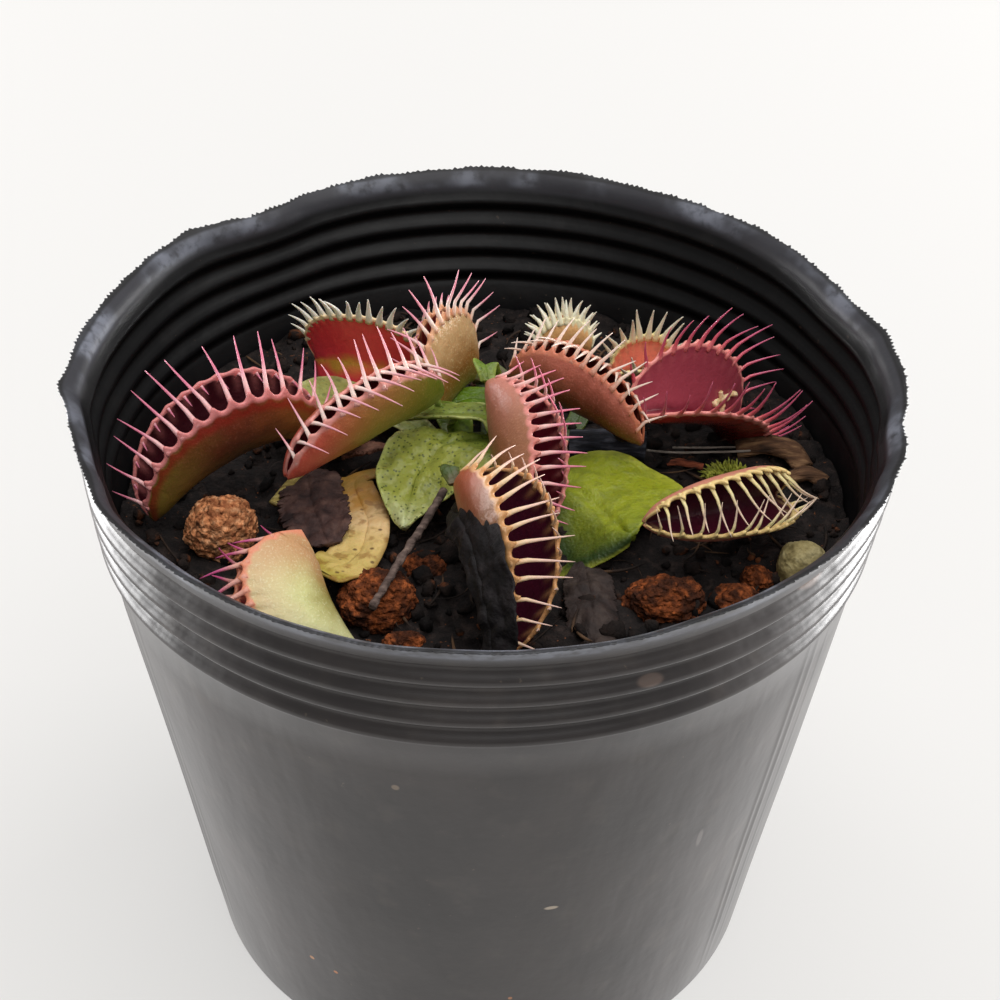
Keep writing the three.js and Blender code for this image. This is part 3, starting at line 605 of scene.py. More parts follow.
def crumb_height(x, y):
    """The map read between its cells by straight-line blending."""
    cell = 2 * MAP_REACH / MAP_STEPS
    px, py = ((np.clip(c, -MAP_REACH + cell, MAP_REACH - cell) + MAP_REACH) / cell - 0.5 for c in (x, y))
    i, j = (np.clip(p.astype(int), 0, MAP_STEPS - 2) for p in (px, py))
    a, b = px - i, py - j
    low = blend(CRUMBS[i, j], CRUMBS[i + 1, j], a)
    return blend(low, blend(CRUMBS[i, j + 1], CRUMBS[i + 1, j + 1], a), b)


def soil_level(x, y):
    """Mounded ground: level + mound x (1 - (radius / rim)^2), plus the crumbs lowered by their mean."""
    mound = SOIL_MOUND * (1 - (x**2 + y**2) / RIM_RADIUS**2)
    return SOIL_LEVEL + mound + CRUMB_SHARE * (crumb_height(x, y) - CRUMB_MEAN)


def soil_shape(rings=150, steps=480):
    """Polar grid of the top, carried down inside the pot's wall to the floor and closed there."""
    edge = float(pot_radius(np.array(SOIL_LEVEL))) - WALL - GAP
    radius = edge * np.linspace(0, 1, rings) ** 0.85
    angle = np.linspace(0, 2 * np.pi, steps, endpoint=False)
    x, y = radius[:, None] * np.cos(angle), radius[:, None] * np.sin(angle)
    top = np.stack([x, y, soil_level(x, y)], -1)
    floor = FOOT_RISE + WALL + GAP
    foot = float(pot_radius(np.array(floor))) - WALL - GAP
    low = [np.stack([r * np.cos(angle), r * np.sin(angle), np.full(steps, z)], -1)
           for r, z in ((foot, floor), (0, floor))]
    grid = np.concatenate([top, np.array(low)])
    return grid.reshape(-1, 3), [quads(len(grid), steps, wrap=True)], {}


def peat():
    """Moist peat: almost black, with brown fibre flecks and a few ochre grains."""
    r = Recipe("peat", roughness=0.85, specular=0.25)
    colour = r.ramp(r.noise(1.3, 6), (0.3, rgb(17, 14, 15)), (0.55, rgb(34, 28, 27)), (0.8, rgb(66, 54, 50)))
    grain = r.step(r.noise(0.6, 2), 0.69, 0.74)
    colour = r.tint(grain, 0.7, colour, rgb(140, 84, 50))
    return r.done(colour, r.bump(r.noise(0.35, 5), 0.25, r.bump(r.noise(1.2, 4), 0.5)))


make_piece("peat_block", soil_shape(), peat(), "soil")


# %% Loose crumbs and fibres
def ball_grid(rows, columns):
    """Unit directions of a ball: angle from the pole by rows, and round by columns."""
    down = np.linspace(0, np.pi, rows)[:, None]
    turn = np.linspace(0, 2 * np.pi, columns, endpoint=False)[None, :]
    return np.stack([np.sin(down) * np.cos(turn), np.sin(down) * np.sin(turn), np.cos(down) + 0 * turn], -1)


def repeated(shapes, rows, columns):
    """Many grids of the same size (count x rows x columns x 3) as one part, each closed round; a grid's
    ends stay open unless its first and last rows meet in a point."""
    count = len(shapes)
    starts = np.arange(count)[:, None, None] * rows * columns
    faces = (quads(rows, columns, wrap=True)[None] + starts).reshape(-1, 4)
    return shapes.reshape(-1, 3), [faces], {}


def loose_crumbs(count=900, seed=21, low=0.35, high=1.2, spread=39.5):
    """Squashed balls turned at random: direction x size x (1 + noise), set so that they rest on the
    ground."""
    rng = np.random.default_rng(seed)
    rows, columns = 6, 8
    ball = ball_grid(rows, columns)
    reach = spread * np.sqrt(rng.uniform(0, 1, count))
    turn = rng.uniform(0, 2 * np.pi, count)
    x, y = reach * np.cos(turn), reach * np.sin(turn)
    size = low + (high - low) * rng.uniform(0, 1, count) ** 2.5
    scale = size[:, None] * rng.uniform(0.55, 1.2, (count, 3))
    rough = 1 + 0.22 * rng.normal(size=(count, rows, columns, 1))
    rough[:, 0], rough[:, -1] = 1, 1
    shapes = (ball[None] * rough * scale[:, None, None]) @ random_turns(rng, count)[:, None]
    centre = np.stack([x, y, soil_level(x, y) + 0.35 * size], -1)
    return repeated(shapes + centre[:, None, None], rows, columns)


def loose_fibres(count=230, seed=31, spread=39, limit=40):
    """Bent hairs: a quadratic line on the ground with a five-sided section that thins towards both ends."""
    rng = np.random.default_rng(seed)
    rows, columns = 9, 5
    t = np.linspace(-1, 1, rows)
    reach = spread * np.sqrt(rng.uniform(0, 1, count))
    turn, way = rng.uniform(0, 2 * np.pi, (2, count))
    x, y = reach * np.cos(turn), reach * np.sin(turn)
    length = rng.uniform(0.7, 3.0, count)
    bend = rng.normal(0, 0.35, count)
    along = np.stack([np.cos(way), np.sin(way)], -1)
    side = np.stack([-np.sin(way), np.cos(way)], -1)
    sway = (bend * length)[:, None] * t**2
    flat = along[:, None] * (length[:, None] * t)[..., None] + side[:, None] * sway[..., None]
    px, py = x[:, None] + flat[..., 0], y[:, None] + flat[..., 1]
    inside = np.minimum(1, limit / np.maximum(np.hypot(px, py), 1e-6))
    px, py = px * inside, py * inside
    ends = (soil_level(px, py)).mean(axis=1, keepdims=True)
    lift = rng.uniform(0, 0.3, (count, 1)) + rng.normal(0, 0.2, (count, 1)) * t
    centre = np.stack([px, py, np.maximum(ends + 0.5 + lift, soil_level(px, py))], -1)
    thick = rng.uniform(0.07, 0.2, (count, 1)) * np.sqrt(np.clip(1.02 - t**2, 0, 1))
    round_turn = np.linspace(0, 2 * np.pi, columns, endpoint=False)
    sideways = np.concatenate([side, np.zeros((count, 1))], -1)[:, None, None] * np.cos(round_turn)[:, None]
    upward = np.array([0, 0, 1.0]) * np.sin(round_turn)[:, None]
    shapes = centre[:, :, None] + thick[:, :, None, None] * (sideways + upward)
    return repeated(shapes, rows, columns)


def fibre_finish():
    r = Recipe("peat_fibre", roughness=0.8, specular=0.3)
    colour = r.ramp(r.noise(4, 2), (0.35, rgb(24, 18, 16)), (0.52, rgb(52, 38, 30)), (0.72, rgb(112, 84, 60)))
    return r.done(colour, r.bump(r.noise(0.3, 3), 0.1))


def crumb_finish():
    r = Recipe("peat_crumb", roughness=0.9, specular=0.2)
    colour = r.ramp(r.noise(3, 4), (0.4, rgb(20, 17, 17)), (0.6, rgb(44, 35, 32)), (0.7, rgb(120, 70, 42)))
    return r.done(colour, r.bump(r.noise(0.3, 4), 0.2))


make_piece("peat_crumbs", loose_crumbs(), crumb_finish())
make_piece("peat_fibres", loose_fibres(), fibre_finish())

# %% [markdown]
# ## The traps
# A trap is one leaf folded along its midrib. The sheet below is a function of u, along the midrib, and v,
# from one rim through the midrib to the other rim. The midrib is an arc, every lobe's section is an arc too,
# and its width follows a flattened arch along u, so that the lobe is a half disc that curls. The teeth stand
# on the rims. Between them the rim is scooped out, and the flesh runs up into the foot of each tooth.

# %% Leaf sizes: the trap, then the blade that carries it
# at: the midrib's middle. heading, pitch: its direction. roll: the mouth's turn about it, 0 is straight up.
# arch: how far the midrib bends, in degrees. width: of one lobe. slant: shift of the rim along the midrib.
# open: the lobe's angle from the mouth direction at the midrib and at the rim; far: the other lobe's.
# teeth: how many on a rim. reach: length. stout: factor on thickness. lean: inward tilt. curl: their bend.
# fan, sweep: spread along the rim. twist: lean that grows along it. split: below 1, two bunches of teeth.
# fall: how much shorter the teeth at the ends are. scoop: how deep the rim dips between teeth.
# joins: the end of the midrib that the blade meets. drop: how far under it the blade ends.
# A name that starts with far_ is the other lobe's, where it differs.
# blade: start is its angle round the crown, lift its height there, via its middle points, end its last point.
# fold: rise of its halves. tilt: turn about its line. width, widest: its breadth and where that is reached.
# outline: rows of (place along it, left half width, right half width), in place of width and widest.
LEAVES = [
    dict(name="left", at=(-27.7, -2.6, 64.7), heading=33, pitch=10, roll=-8, length=21.6, width=9.2, arch=60,
         open=(55.5, -16), far=(52, -20), teeth=14, reach=8.0, fall=0.55, lean=48, fan=28, sweep=4, joins=1,
         far_reach=1.8, far_lean=110, far_scoop=0.2,
         blade=dict(start=150, lift=0.2, via=[(-9.4, 9.8, 61), (-18, 11.4, 62.6)], fold=(4, 4), tilt=-6,
                    outline=[(0, 0.9, 0.9), (0.3, 1.6, 2.4), (0.5, 2, 4), (0.7, 2.2, 6), (0.86, 2, 5.4),
                             (1, 0.7, 0.7)])),
    dict(name="inner_left", at=(-13.2, -0.6, 66.5), heading=41, pitch=4, roll=14, length=21, width=9.3,
         arch=6, open=(54, -44), teeth=12, reach=5.8, lean=30, fan=5, sweep=14, joins=1, drop=1.4, scoop=0.45,
         blade=dict(start=130, lift=1.4, via=[(-3.4, 7.6, 63.2)], width=3.4, widest=0.5, fold=16)),
    dict(name="back_left", at=(-14.5, 16.6, 63.7), heading=-17, pitch=2, roll=52, length=13.4, width=8.1,
         arch=70, open=(112, 100), far=(51.5, 29.5), teeth=17, reach=3.4, stout=1.4, lean=4, fan=25, sweep=4,
         joins=1, scoop=0.35,
         blade=dict(start=116, lift=0, via=[(-4.5, 13, 59.1)], width=3, widest=0.55, fold=15)),
    dict(name="upright", at=(-3.8, 12.6, 62.9), heading=59, pitch=6, roll=-10, length=7.9, width=11, arch=48,
         open=(28, -18), far=(26, -18), teeth=14, reach=4.8, fall=0.25, lean=-12, twist=-50, fan=34, sweep=28,
         split=0.4, joins=1, scoop=0.4, far_reach=1.5,
         blade=dict(start=90, lift=0, via=[(0.8, 14, 59.2)], width=3.2, widest=0.4, fold=20)),
    dict(name="centre", at=(1.3, -7.4, 66.3), heading=-84.5, pitch=-28.6, roll=-38.5, length=21.5, width=9.3,
         arch=7, open=(48, -24), teeth=15, reach=5.0, fall=0.5, lean=24, fan=36, sweep=-2, joins=-1,
         blade=dict(start=84, lift=2, via=[(1.2, 6.8, 66)], width=3, widest=0.5, fold=20)),
    dict(name="front", at=(-0.2, -20.9, 64.6), heading=-75, pitch=-25.5, roll=-24.5, length=19.8, width=10.6,
         arch=20, open=(49.5, -18), far=(46, -14), teeth=14, reach=6.2, fall=0.55, lean=52, fan=40, sweep=-10,
         joins=-1, far_reach=2.6, far_lean=30,
         blade=dict(start=266, lift=0, via=[(0.6, -6.4, 61.4)], width=1.8, widest=0.5, fold=4)),
    dict(name="inner_right", at=(9.9, 6.5, 65.2), heading=-34, pitch=-7, roll=2, length=17.5, width=8.5,
         arch=10, open=(52, -40), teeth=14, reach=4.5, lean=21, fan=33, sweep=11, joins=-1, scoop=0.6,
         blade=dict(start=62, lift=1.3, via=[(3.6, 10.5, 62)], width=1.8, widest=0.4, fold=20)),
    dict(name="back_small", at=(9.3, 22.4, 62.4), heading=1, pitch=10, roll=-20, length=6, width=4.8, arch=50,
         open=(50, -5), teeth=13, reach=2.0, stout=1.2, lean=8, fan=45, sweep=0, joins=-1, scoop=0.25,
         blade=dict(start=58, lift=0, via=[(5.6, 14, 59.2)], width=2.4, widest=0.5, fold=12)),
    dict(name="back_pale", at=(18.2, 17.5, 62.8), heading=11, pitch=0, roll=26, length=7.2, width=5, arch=40,
         open=(48, 10), teeth=11, reach=3.9, stout=1.3, lean=2, fan=26, sweep=0, joins=-1, scoop=0.3,
         blade=dict(start=31, lift=0, via=[(10.5, 12.5, 59.2)], width=2.4, widest=0.5, fold=12)),
    dict(name="right", at=(23.8, 9.6, 62.3), heading=35, pitch=-33, roll=22, length=18.9, width=8.3, arch=80,
         open=(63, 16), far=(51, 25), teeth=15, reach=6.6, fall=0.25, lean=6, fan=-6, sweep=-20, joins=-1,
         drop=1.4, scoop=0.5, far_reach=5.6, far_lean=26, far_fan=30, far_sweep=6,
         blade=dict(start=6, lift=0.2, via=[(11, 3.6, 59.4), (15, 5.8, 60.2)], width=2, widest=0.4, fold=12)),
    dict(name="front_right", at=(24.7, -8.8, 63.1), heading=33.6, pitch=-11.7, roll=52.4, length=18.6,
         width=8.1, arch=24, open=(67, -18.4), far=(74.3, -30.6), teeth=14, reach=4.4, stout=0.8, fall=0.4,
         lean=50, fan=60, sweep=34, joins=-1, far_reach=5.8, far_lean=50, far_fan=40, far_sweep=22,
         far_curl=-2.2, far_scoop=0.9,
         blade=dict(start=-25, lift=0.4, via=[(9.4, -2.4, 61.4), (12.8, -7, 61.3)], end=(15.6, -12.4, 62.4),
                    fold=(-3, -26), tilt=5,
                    outline=[(0, 1.6, 1), (0.14, 4.8, 3.8), (0.3, 6.4, 7), (0.45, 8.6, 7.6), (0.6, 9.8, 8.4),
                             (0.74, 9.2, 8.6), (0.86, 4.8, 7.6), (0.95, 1.4, 4.2), (1, 0.7, 0.7)])),
    dict(name="front_left", at=(-15.5, -25.6, 62.7), heading=-57.5, pitch=-29, roll=86, length=10.6,
         width=9.4, arch=36, slant=-3.4, open=(45, -30), far=(47.5, -28), teeth=11, reach=4.7, lean=10,
         fan=14, sweep=0, joins=-1, scoop=0.4,
         blade=dict(start=184, lift=0, via=[(-9, 2.5, 59.2), (-14.2, 0, 59.8), (-12.6, -8.5, 60.3),
                                            (-14, -15, 60.6)],
                    end=(-17.2, -17.6, 61.4), fold=(8, -8),
                    outline=[(0, 0.8, 0.8), (0.3, 0.9, 1.2), (0.37, 1.6, 4.6), (0.47, 2, 2.6),
                             (0.58, 2.2, 3.2), (0.75, 2.6, 3.4), (0.88, 3, 3.4), (0.96, 3, 2.6),
                             (1, 0.6, 0.6)])),
]
SPECKLED = dict(points=[(0.2, 3.4, 62.8), (-3.2, 1.6, 64.4), (-6.6, -2, 63.8), (-8.2, -6.5, 62.4),
                        (-8.6, -10.2, 61.2)],
                fold=(12, -4), tilt=-7,
                outline=[(0, 2.2, 1.3), (0.15, 5.2, 1.4), (0.25, 6.2, 2.2), (0.35, 6.6, 4.4),
                         (0.45, 6.4, 5.4), (0.55, 5.7, 4.8), (0.65, 4.6, 4.3), (0.8, 2.7, 2.6),
                         (0.92, 1.7, 1.2), (1, 0.4, 0.3)])
CROWN = dict(x=0.5, y=2.5, radius=4.2, top=62.4, bottom=51)
BLADE_THICKNESS, NECK_GAP, NECK_RUN = 0.8, 0.5, 2.2
COMB_END = 0.93  # the first and last tooth stand at this share of the rim


# %% The trap's surface
def trap_axes(trap):
    """Directions along the midrib, toward the mouth, and out through the first lobe."""
    h, p, r = (math.radians(trap[key]) for key in ("heading", "pitch", "roll"))
    along = np.array([math.cos(h) * math.cos(p), math.sin(h) * math.cos(p), math.sin(p)])
    level = np.array([-math.sin(h), math.cos(h), 0])
    mouth = np.cross(along, level) * math.cos(r) - level * math.sin(r)
    return along, mouth, np.cross(along, mouth)


def lobe_width(trap, u):
    """Width of a lobe at u: width (0.1 + 0.9 (1 - |u|^2.3)^0.62)."""
    return trap["width"] * (0.1 + 0.9 * (1 - np.abs(u) ** 2.3) ** 0.62)


def trap_place(trap, u, v):
    """Point, rise (toward the rim), inward normal and local midrib direction at u, v. With s = |v|, the angle
    a(s) runs evenly from open[0] to open[1]; the section is the arc whose slope is a: toward the mouth width
    (sin a - sin a0) / turn, and sideways width (cos a0 - cos a) / turn; slant s is added along the midrib."""
    along, mouth, side = trap_axes(trap)
    u, v = np.broadcast_arrays(np.asarray(u, float), np.asarray(v, float))
    arch = math.radians(trap["arch"])
    bend = (u * arch / 2)[..., None]
    radius = trap["length"] / arch
    middle = np.array(trap["at"]) + radius * (along * np.sin(bend) + mouth * (np.cos(bend) - 1))
    local_along = along * np.cos(bend) - mouth * np.sin(bend)
    local_mouth = along * np.sin(bend) + mouth * np.cos(bend)
    width = lobe_width(trap, u)
    other = v < 0
    near, far = np.radians(trap["open"]), np.radians(trap.get("far", trap["open"]))
    start, end = (np.where(other, far[k], near[k]) for k in (0, 1))
    share = np.abs(v)
    soft = np.sqrt(share**2 + 0.004) - 0.063 * (1 - share)
    turn = end - start
    angle, soft_angle = start + turn * share, start + turn * soft
    to_mouth = width * (np.sin(soft_angle) - np.sin(start)) / turn
    to_side = width * (np.cos(start) - np.cos(angle)) / turn
    middle = middle + local_along * (trap.get("slant", 0) * share)[..., None]
    hand = np.where(other, -1, 1)
    point = middle + local_mouth * to_mouth[..., None] + side * (hand * to_side)[..., None]
    sin, cos = np.sin(angle)[..., None], np.cos(angle)[..., None]
    hand = hand[..., None]
    return point, local_mouth * cos + side * hand * sin, local_mouth * sin - side * hand * cos, local_along


def of_lobe(trap, key, lobe, usual=None):
    """A trap's own value for one of its lobes: far_key for the other lobe, where it is given."""
    own = trap.get(key, usual)
    return trap.get("far_" + key, own) if lobe < 0 else own


def tooth_rows(trap):
    """Where the teeth stand: u from -COMB_END to COMB_END in even steps, the second rim's half a step
    along."""
    for lobe, shift in ((-1, 0.5), (1, 0.0)):
        k = np.arange(trap["teeth"])[: trap["teeth"] - (1 if shift else 0)]
        yield lobe, blend(-COMB_END, COMB_END, (k + shift) / (trap["teeth"] - 1))


def trap_lobes(trap, rng, rows=190, columns=40, thickness=0.85):
    """The bent sheet. The rim is scooped by a smooth step of the distance to the nearest tooth, the lobes
    carry faint swells, and the sheet thins from the midrib to the rim. Marks: rim, the share of the way to
    it; edge, the millimetres left to it; along; comb, 1 under a tooth and 0 between two."""
    u = np.sin(np.pi / 2 * np.linspace(-1, 1, rows))[:, None]
    even = np.linspace(-1, 1, columns + 1)[None, :]
    v = even * (1.22 - 0.22 * even**2)
    point, rise, inward, _ = trap_place(trap, u, v)
    phase = (u + COMB_END) / (2 * COMB_END) * (trap["teeth"] - 1) - np.where(v < 0, 0.5, 0)
    spaced = (phase > -0.4) & (phase < trap["teeth"] - np.where(v < 0, 1.6, 0.6))
    off = np.abs(phase - np.round(phase)) * spaced
    depth = np.where(v < 0, trap.get("far_scoop", 0.45), trap.get("scoop", 0.9))
    arch = np.sin(np.pi / 2 * np.clip((off - 0.05) / 0.38, 0, 1)) ** 0.9
    scoop = depth * arch * np.minimum(1, lobe_width(trap, u) / 6)
    near_rim = ease(0.70, 1.0, np.abs(v))
    point = point - rise * (scoop * near_rim)[..., None]
    swell = 0.14 * lumpy(point, 6.0, int(rng.integers(1e6)), 2) * (1 - near_rim)
    between = 0.05 * np.cos(2 * np.pi * phase) * ease(0.7, 1.0, np.abs(v)) * spaced
    wave = 0.22 * np.sin(3.2 * u + rng.uniform(0, 6)) * np.abs(v) ** 2
    point = point + inward * (swell - between + wave)[..., None]
    sheet = thickness * (1.1 - 0.6 * ease(0.3, 1.0, np.abs(v)))
    end = ease(0.86, 1.0, np.abs(u))
    marks = dict(rim=np.abs(v) * np.ones_like(u), along=u * np.ones_like(v), comb=(1 - arch) * spaced,
                 edge=(1 - np.abs(v)) * lobe_width(trap, u))
    points, faces, named = thick_sheet(point, sheet * (1 - 0.4 * end), marks)
    named["tooth"] = np.zeros(len(points))
    return points, faces, named


def trap_teeth(trap, rng, rows=13, sides=8):
    """Each tooth leaves the flesh along the lobe and then runs along root + length (t d + (t^2 - t) b), with
    an oval section that flares where it meets the rim: half width(t) = 0.22 (1 - t)^0.8 + 0.15 exp(-9 t) +
    0.04 mm."""
    t = np.linspace(0, 1, rows) ** 1.15
    ring = np.linspace(0, 2 * np.pi, sides, endpoint=False)
    parts = []
    for lobe, u in tooth_rows(trap):
        point, rise, inward, local = trap_place(trap, u, float(lobe))
        count = len(u)
        parted = np.sign(u) * np.abs(u) ** trap.get("split", 1)
        spread = of_lobe(trap, "fan", lobe) * parted + of_lobe(trap, "sweep", lobe)
        fan = np.radians(spread + rng.normal(0, 4, count))[:, None]
        lean = of_lobe(trap, "lean", lobe) + trap.get("twist", 0) * parted
        lean = np.radians(lean + rng.normal(0, 5.0, count))[:, None]
        across = rise * np.cos(lean) + inward * np.sin(lean)
        direction = across * np.cos(fan) + local * np.sin(fan)
        fall = of_lobe(trap, "fall", lobe, 0.38)
        length = of_lobe(trap, "reach", lobe) * (1 - fall * u**2) * rng.uniform(0.88, 1.08, count)
        root = point - rise * 0.9
        curl = inward * 0.16 * of_lobe(trap, "curl", lobe, 1) + local * rng.normal(0, 0.06, count)[:, None]
        way = t[:, None]
        line = root[:, None] + 0.9 * rise[:, None] * np.minimum(1, 5 * way) + length[:, None, None] * (
            direction[:, None] * way + curl[:, None] * (way**2 - way))
        half = 0.22 * (1 - t) ** 0.8 + 0.15 * np.exp(-9 * t) + 0.04
        slim = np.clip(length / trap["reach"], 0.6, 1)[:, None] ** 0.5
        half = trap.get("stout", 1) * half[None, :] * slim
        wide = unit(local - direction * np.sum(local * direction, axis=-1, keepdims=True))
        thin = np.cross(direction, wide)
        oval = (wide[:, None, None] * np.cos(ring)[:, None]
                + 0.8 * thin[:, None, None] * np.sin(ring)[:, None])
        rings = line[:, :, None] + half[..., None, None] * oval
        rank = np.tile(0.02 + 0.98 * t[:, None], (1, sides))
        one = np.ones_like(rank)
        parts += [closed_tube(tooth, dict(tooth=rank, rim=one, comb=one, edge=0 * one)) for tooth in rings]
    return gather(parts)


# %% Trap finish
def lobe_skin(name, low, mid, high, rim, inner, base, tip, line=None, ends=None, speck=(70, 32, 18),
              flecks=0.3, cream=0.15, throat=(120, 110, 40), gloss=0.36, stripes=0.45, glow=0.08,
              blotch=0.25):
    """Fleshy leaf skin. Outside, from the midrib to the rim: low, mid, high and the rim's own thin edge, with
    an optional darker line under it; ends is the colour that the two ends of the trap fade to. Inside: throat
    at the midrib, then inner, with blotch darker patches. Teeth run from base to tip. Pores in the speck
    colour and a cream grain lie all over; gloss is the roughness, stripes the pale lines under the teeth, and
    glow the share of light that passes through the flesh."""
    r = Recipe(name, roughness=gloss, specular=0.5, subsurface=glow, depth=0.6)
    drift = r.drift(2.6, 4, 0.4)
    across = r.math("ADD", r.mark("rim"), drift)
    outside = r.ramp(across, (0.05, rgb(*low)), (0.42, rgb(*mid)), (0.82, rgb(*high)), (1.0, rgb(*high)))
    if ends:
        first, last = ends
        along = r.math("ADD", r.mark("along"), drift)
        outside = r.over(r.step(along, 0.0, -0.9), outside, rgb(*first))
        outside = r.over(r.step(along, 0.0, 0.9), outside, rgb(*last))
    grain = r.step(r.noise(0.22, 2), 0.55, 0.68)
    outside = r.tint(grain, cream, outside, rgb(*[min(255, 70 + c) for c in high]))
    pores = r.step(r.cells(0.30), 0.10, 0.02)
    outside = r.tint(pores, flecks, outside, rgb(*speck))
    if line:
        stripe = r.math("MULTIPLY", r.step(r.mark("edge"), 0.5, 1.1), r.step(r.mark("edge"), 2.6, 1.4))
        outside = r.tint(stripe, 0.75, outside, rgb(*line))
    edge = r.math("ADD", r.mark("edge"), r.math("MULTIPLY", r.mark("comb"), -0.55))
    outside = r.over(r.step(edge, 0.55, 0.0), outside, rgb(*rim))
    inward = r.ramp(across, (0.0, rgb(*throat)), (0.2, rgb(*inner)), (1.0, rgb(*inner)))
    inward = r.tint(r.step(r.noise(0.7, 3), 0.45, 0.7), blotch, inward, rgb(*[c * 0.55 for c in inner]))
    under_tooth = r.math("MULTIPLY", r.mark("comb"), r.step(r.mark("edge"), 3.0, 0.4))
    inward = r.tint(under_tooth, stripes, inward, rgb(*rim))
    inward = r.over(r.step(edge, 0.25, -0.1), inward, rgb(*rim))
    skin = r.over(r.mark("inside"), outside, inward)
    tones = r.math("ADD", r.mark("tooth"), r.math("MULTIPLY", drift, 0.5))
    comb = r.ramp(tones, (0.0, rgb(*rim)), (0.18, rgb(*base)), (0.55, rgb(*tip)), (1.0, rgb(*tip)))
    skin = r.over(r.step(r.mark("tooth"), 0.005, 0.015), skin, comb)
    fine = r.bump(r.noise(0.25, 2), 0.05)
    return r.done(skin, r.bump(r.noise(1.2, 3), 0.12, fine))


SKINS = dict(
    left=lobe_skin("skin_left", (96, 80, 50), (90, 50, 30), (124, 52, 34), (232, 142, 140), (64, 16, 26),
                   (250, 196, 196), (226, 126, 154), line=(150, 40, 30),
                   ends=((132, 112, 46), (160, 104, 50))),
    inner_left=lobe_skin("skin_inner_left", (118, 134, 32), (152, 138, 50), (178, 124, 70), (238, 160, 150),
                         (110, 18, 32), (252, 226, 216), (238, 166, 178),
                         ends=((214, 96, 80), (122, 134, 40))),
    back_left=lobe_skin("skin_back_left", (130, 120, 50), (180, 84, 50), (196, 66, 50), (255, 232, 184),
                        (255, 74, 84), (255, 252, 240), (255, 250, 236), throat=(214, 160, 60), stripes=0.1,
                        blotch=0.05),
    upright=lobe_skin("skin_upright", (140, 130, 36), (166, 112, 50), (222, 180, 128), (236, 176, 136),
                      (140, 34, 36), (255, 232, 220), (244, 160, 178), speck=(120, 70, 30), cream=0.25),
    centre=lobe_skin("skin_centre", (92, 54, 24), (142, 90, 56), (172, 116, 84), (232, 150, 140),
                     (84, 12, 28), (250, 202, 196), (230, 130, 156), ends=((204, 130, 114), (124, 82, 40))),
    front=lobe_skin("skin_front", (130, 72, 50), (142, 86, 62), (150, 102, 68), (226, 168, 112), (64, 12, 32),
                    (246, 212, 172), (246, 204, 188), ends=((196, 100, 74), (124, 118, 36))),
    inner_right=lobe_skin("skin_inner_right", (100, 42, 32), (118, 58, 38), (196, 112, 92), (236, 146, 116),
                          (100, 12, 18), (246, 210, 190), (246, 218, 204)),
    back_small=lobe_skin("skin_back_small", (250, 176, 112), (255, 186, 120), (255, 200, 136),
                         (255, 244, 200), (190, 90, 60), (255, 250, 220), (255, 250, 228)),
    back_pale=lobe_skin("skin_back_pale", (190, 130, 90), (214, 124, 98), (226, 140, 112), (248, 232, 170),
                        (236, 140, 116), (255, 250, 220), (255, 248, 224), stripes=0.2),
    # right: the darker throat is painted shade, where the lobes fold together at the midrib
    right=lobe_skin("skin_right", (104, 20, 24), (120, 26, 28), (160, 50, 46), (250, 160, 152), (164, 70, 84),
                    (236, 110, 126), (230, 116, 152), throat=(104, 16, 34), flecks=0.05, gloss=0.2,
                    stripes=0.1, blotch=0.04),
    front_right=lobe_skin("skin_front_right", (120, 62, 46), (206, 132, 112), (226, 150, 126),
                          (246, 214, 146), (70, 14, 34), (250, 232, 170), (246, 214, 190),
                          throat=(60, 12, 28), stripes=0.3),
    front_left=lobe_skin("skin_front_left", (146, 130, 50), (220, 218, 150), (220, 196, 146), (234, 148, 116),
                         (150, 60, 60), (238, 178, 164), (212, 96, 150), speck=(90, 56, 28), flecks=0.1,
                         cream=0.25, ends=((206, 158, 112), (216, 214, 156))),
)

for number, leaf in enumerate(LEAVES):
    rng = np.random.default_rng(100 + number)
    trap = gather([trap_lobes(leaf, rng), trap_teeth(leaf, rng)])
    make_piece(f"snap_{leaf['name']}", trap, SKINS[leaf["name"]], f"trap_{leaf['name']}")

# %% [markdown]
# ## The blades
# A blade is a sheet along a smooth line: narrow at the crown, widest part of the way, narrow at the neck
# where its trap begins. Its two halves fold up from a shallow groove, and its edges are gently waved.


# %% Blade surface
def blade_line(blade, last):
    """The middle line: from a root beside the crown, by way of its own points, to its last points."""
    angle = math.radians(blade["start"])
    reach = CROWN["radius"] + 2 * GAP
    foot = SOIL_LEVEL + SOIL_MOUND + BLADE_THICKNESS + GAP + blade["lift"]
    root = (CROWN["x"] + reach * math.cos(angle), CROWN["y"] + reach * math.sin(angle), foot)
    return np.array([root, *blade["via"], *last], float)


def blade_halves(blade, t):
    """Half widths on the left and on the right of the middle line. They follow the blade's outline where it
    has one, and otherwise w(t) / 2, where w is blended from narrow to width by sin^1.3 of the way up to the
    widest place and down again."""
    if "outline" in blade:
        place, left, right = smooth_line(blade["outline"], np.linspace(0, 1, 300)).T
        return np.interp(t, place, left), np.interp(t, place, right)
    way = np.where(t < blade["widest"], t / blade["widest"], (1 - t) / (1 - blade["widest"]))
    narrow = blend(blade.get("root", 2.2), blade.get("neck", 1.4), t)
    half = blend(narrow, blade["width"], np.sin(np.pi / 2 * way) ** 1.3) / 2
    return half, half


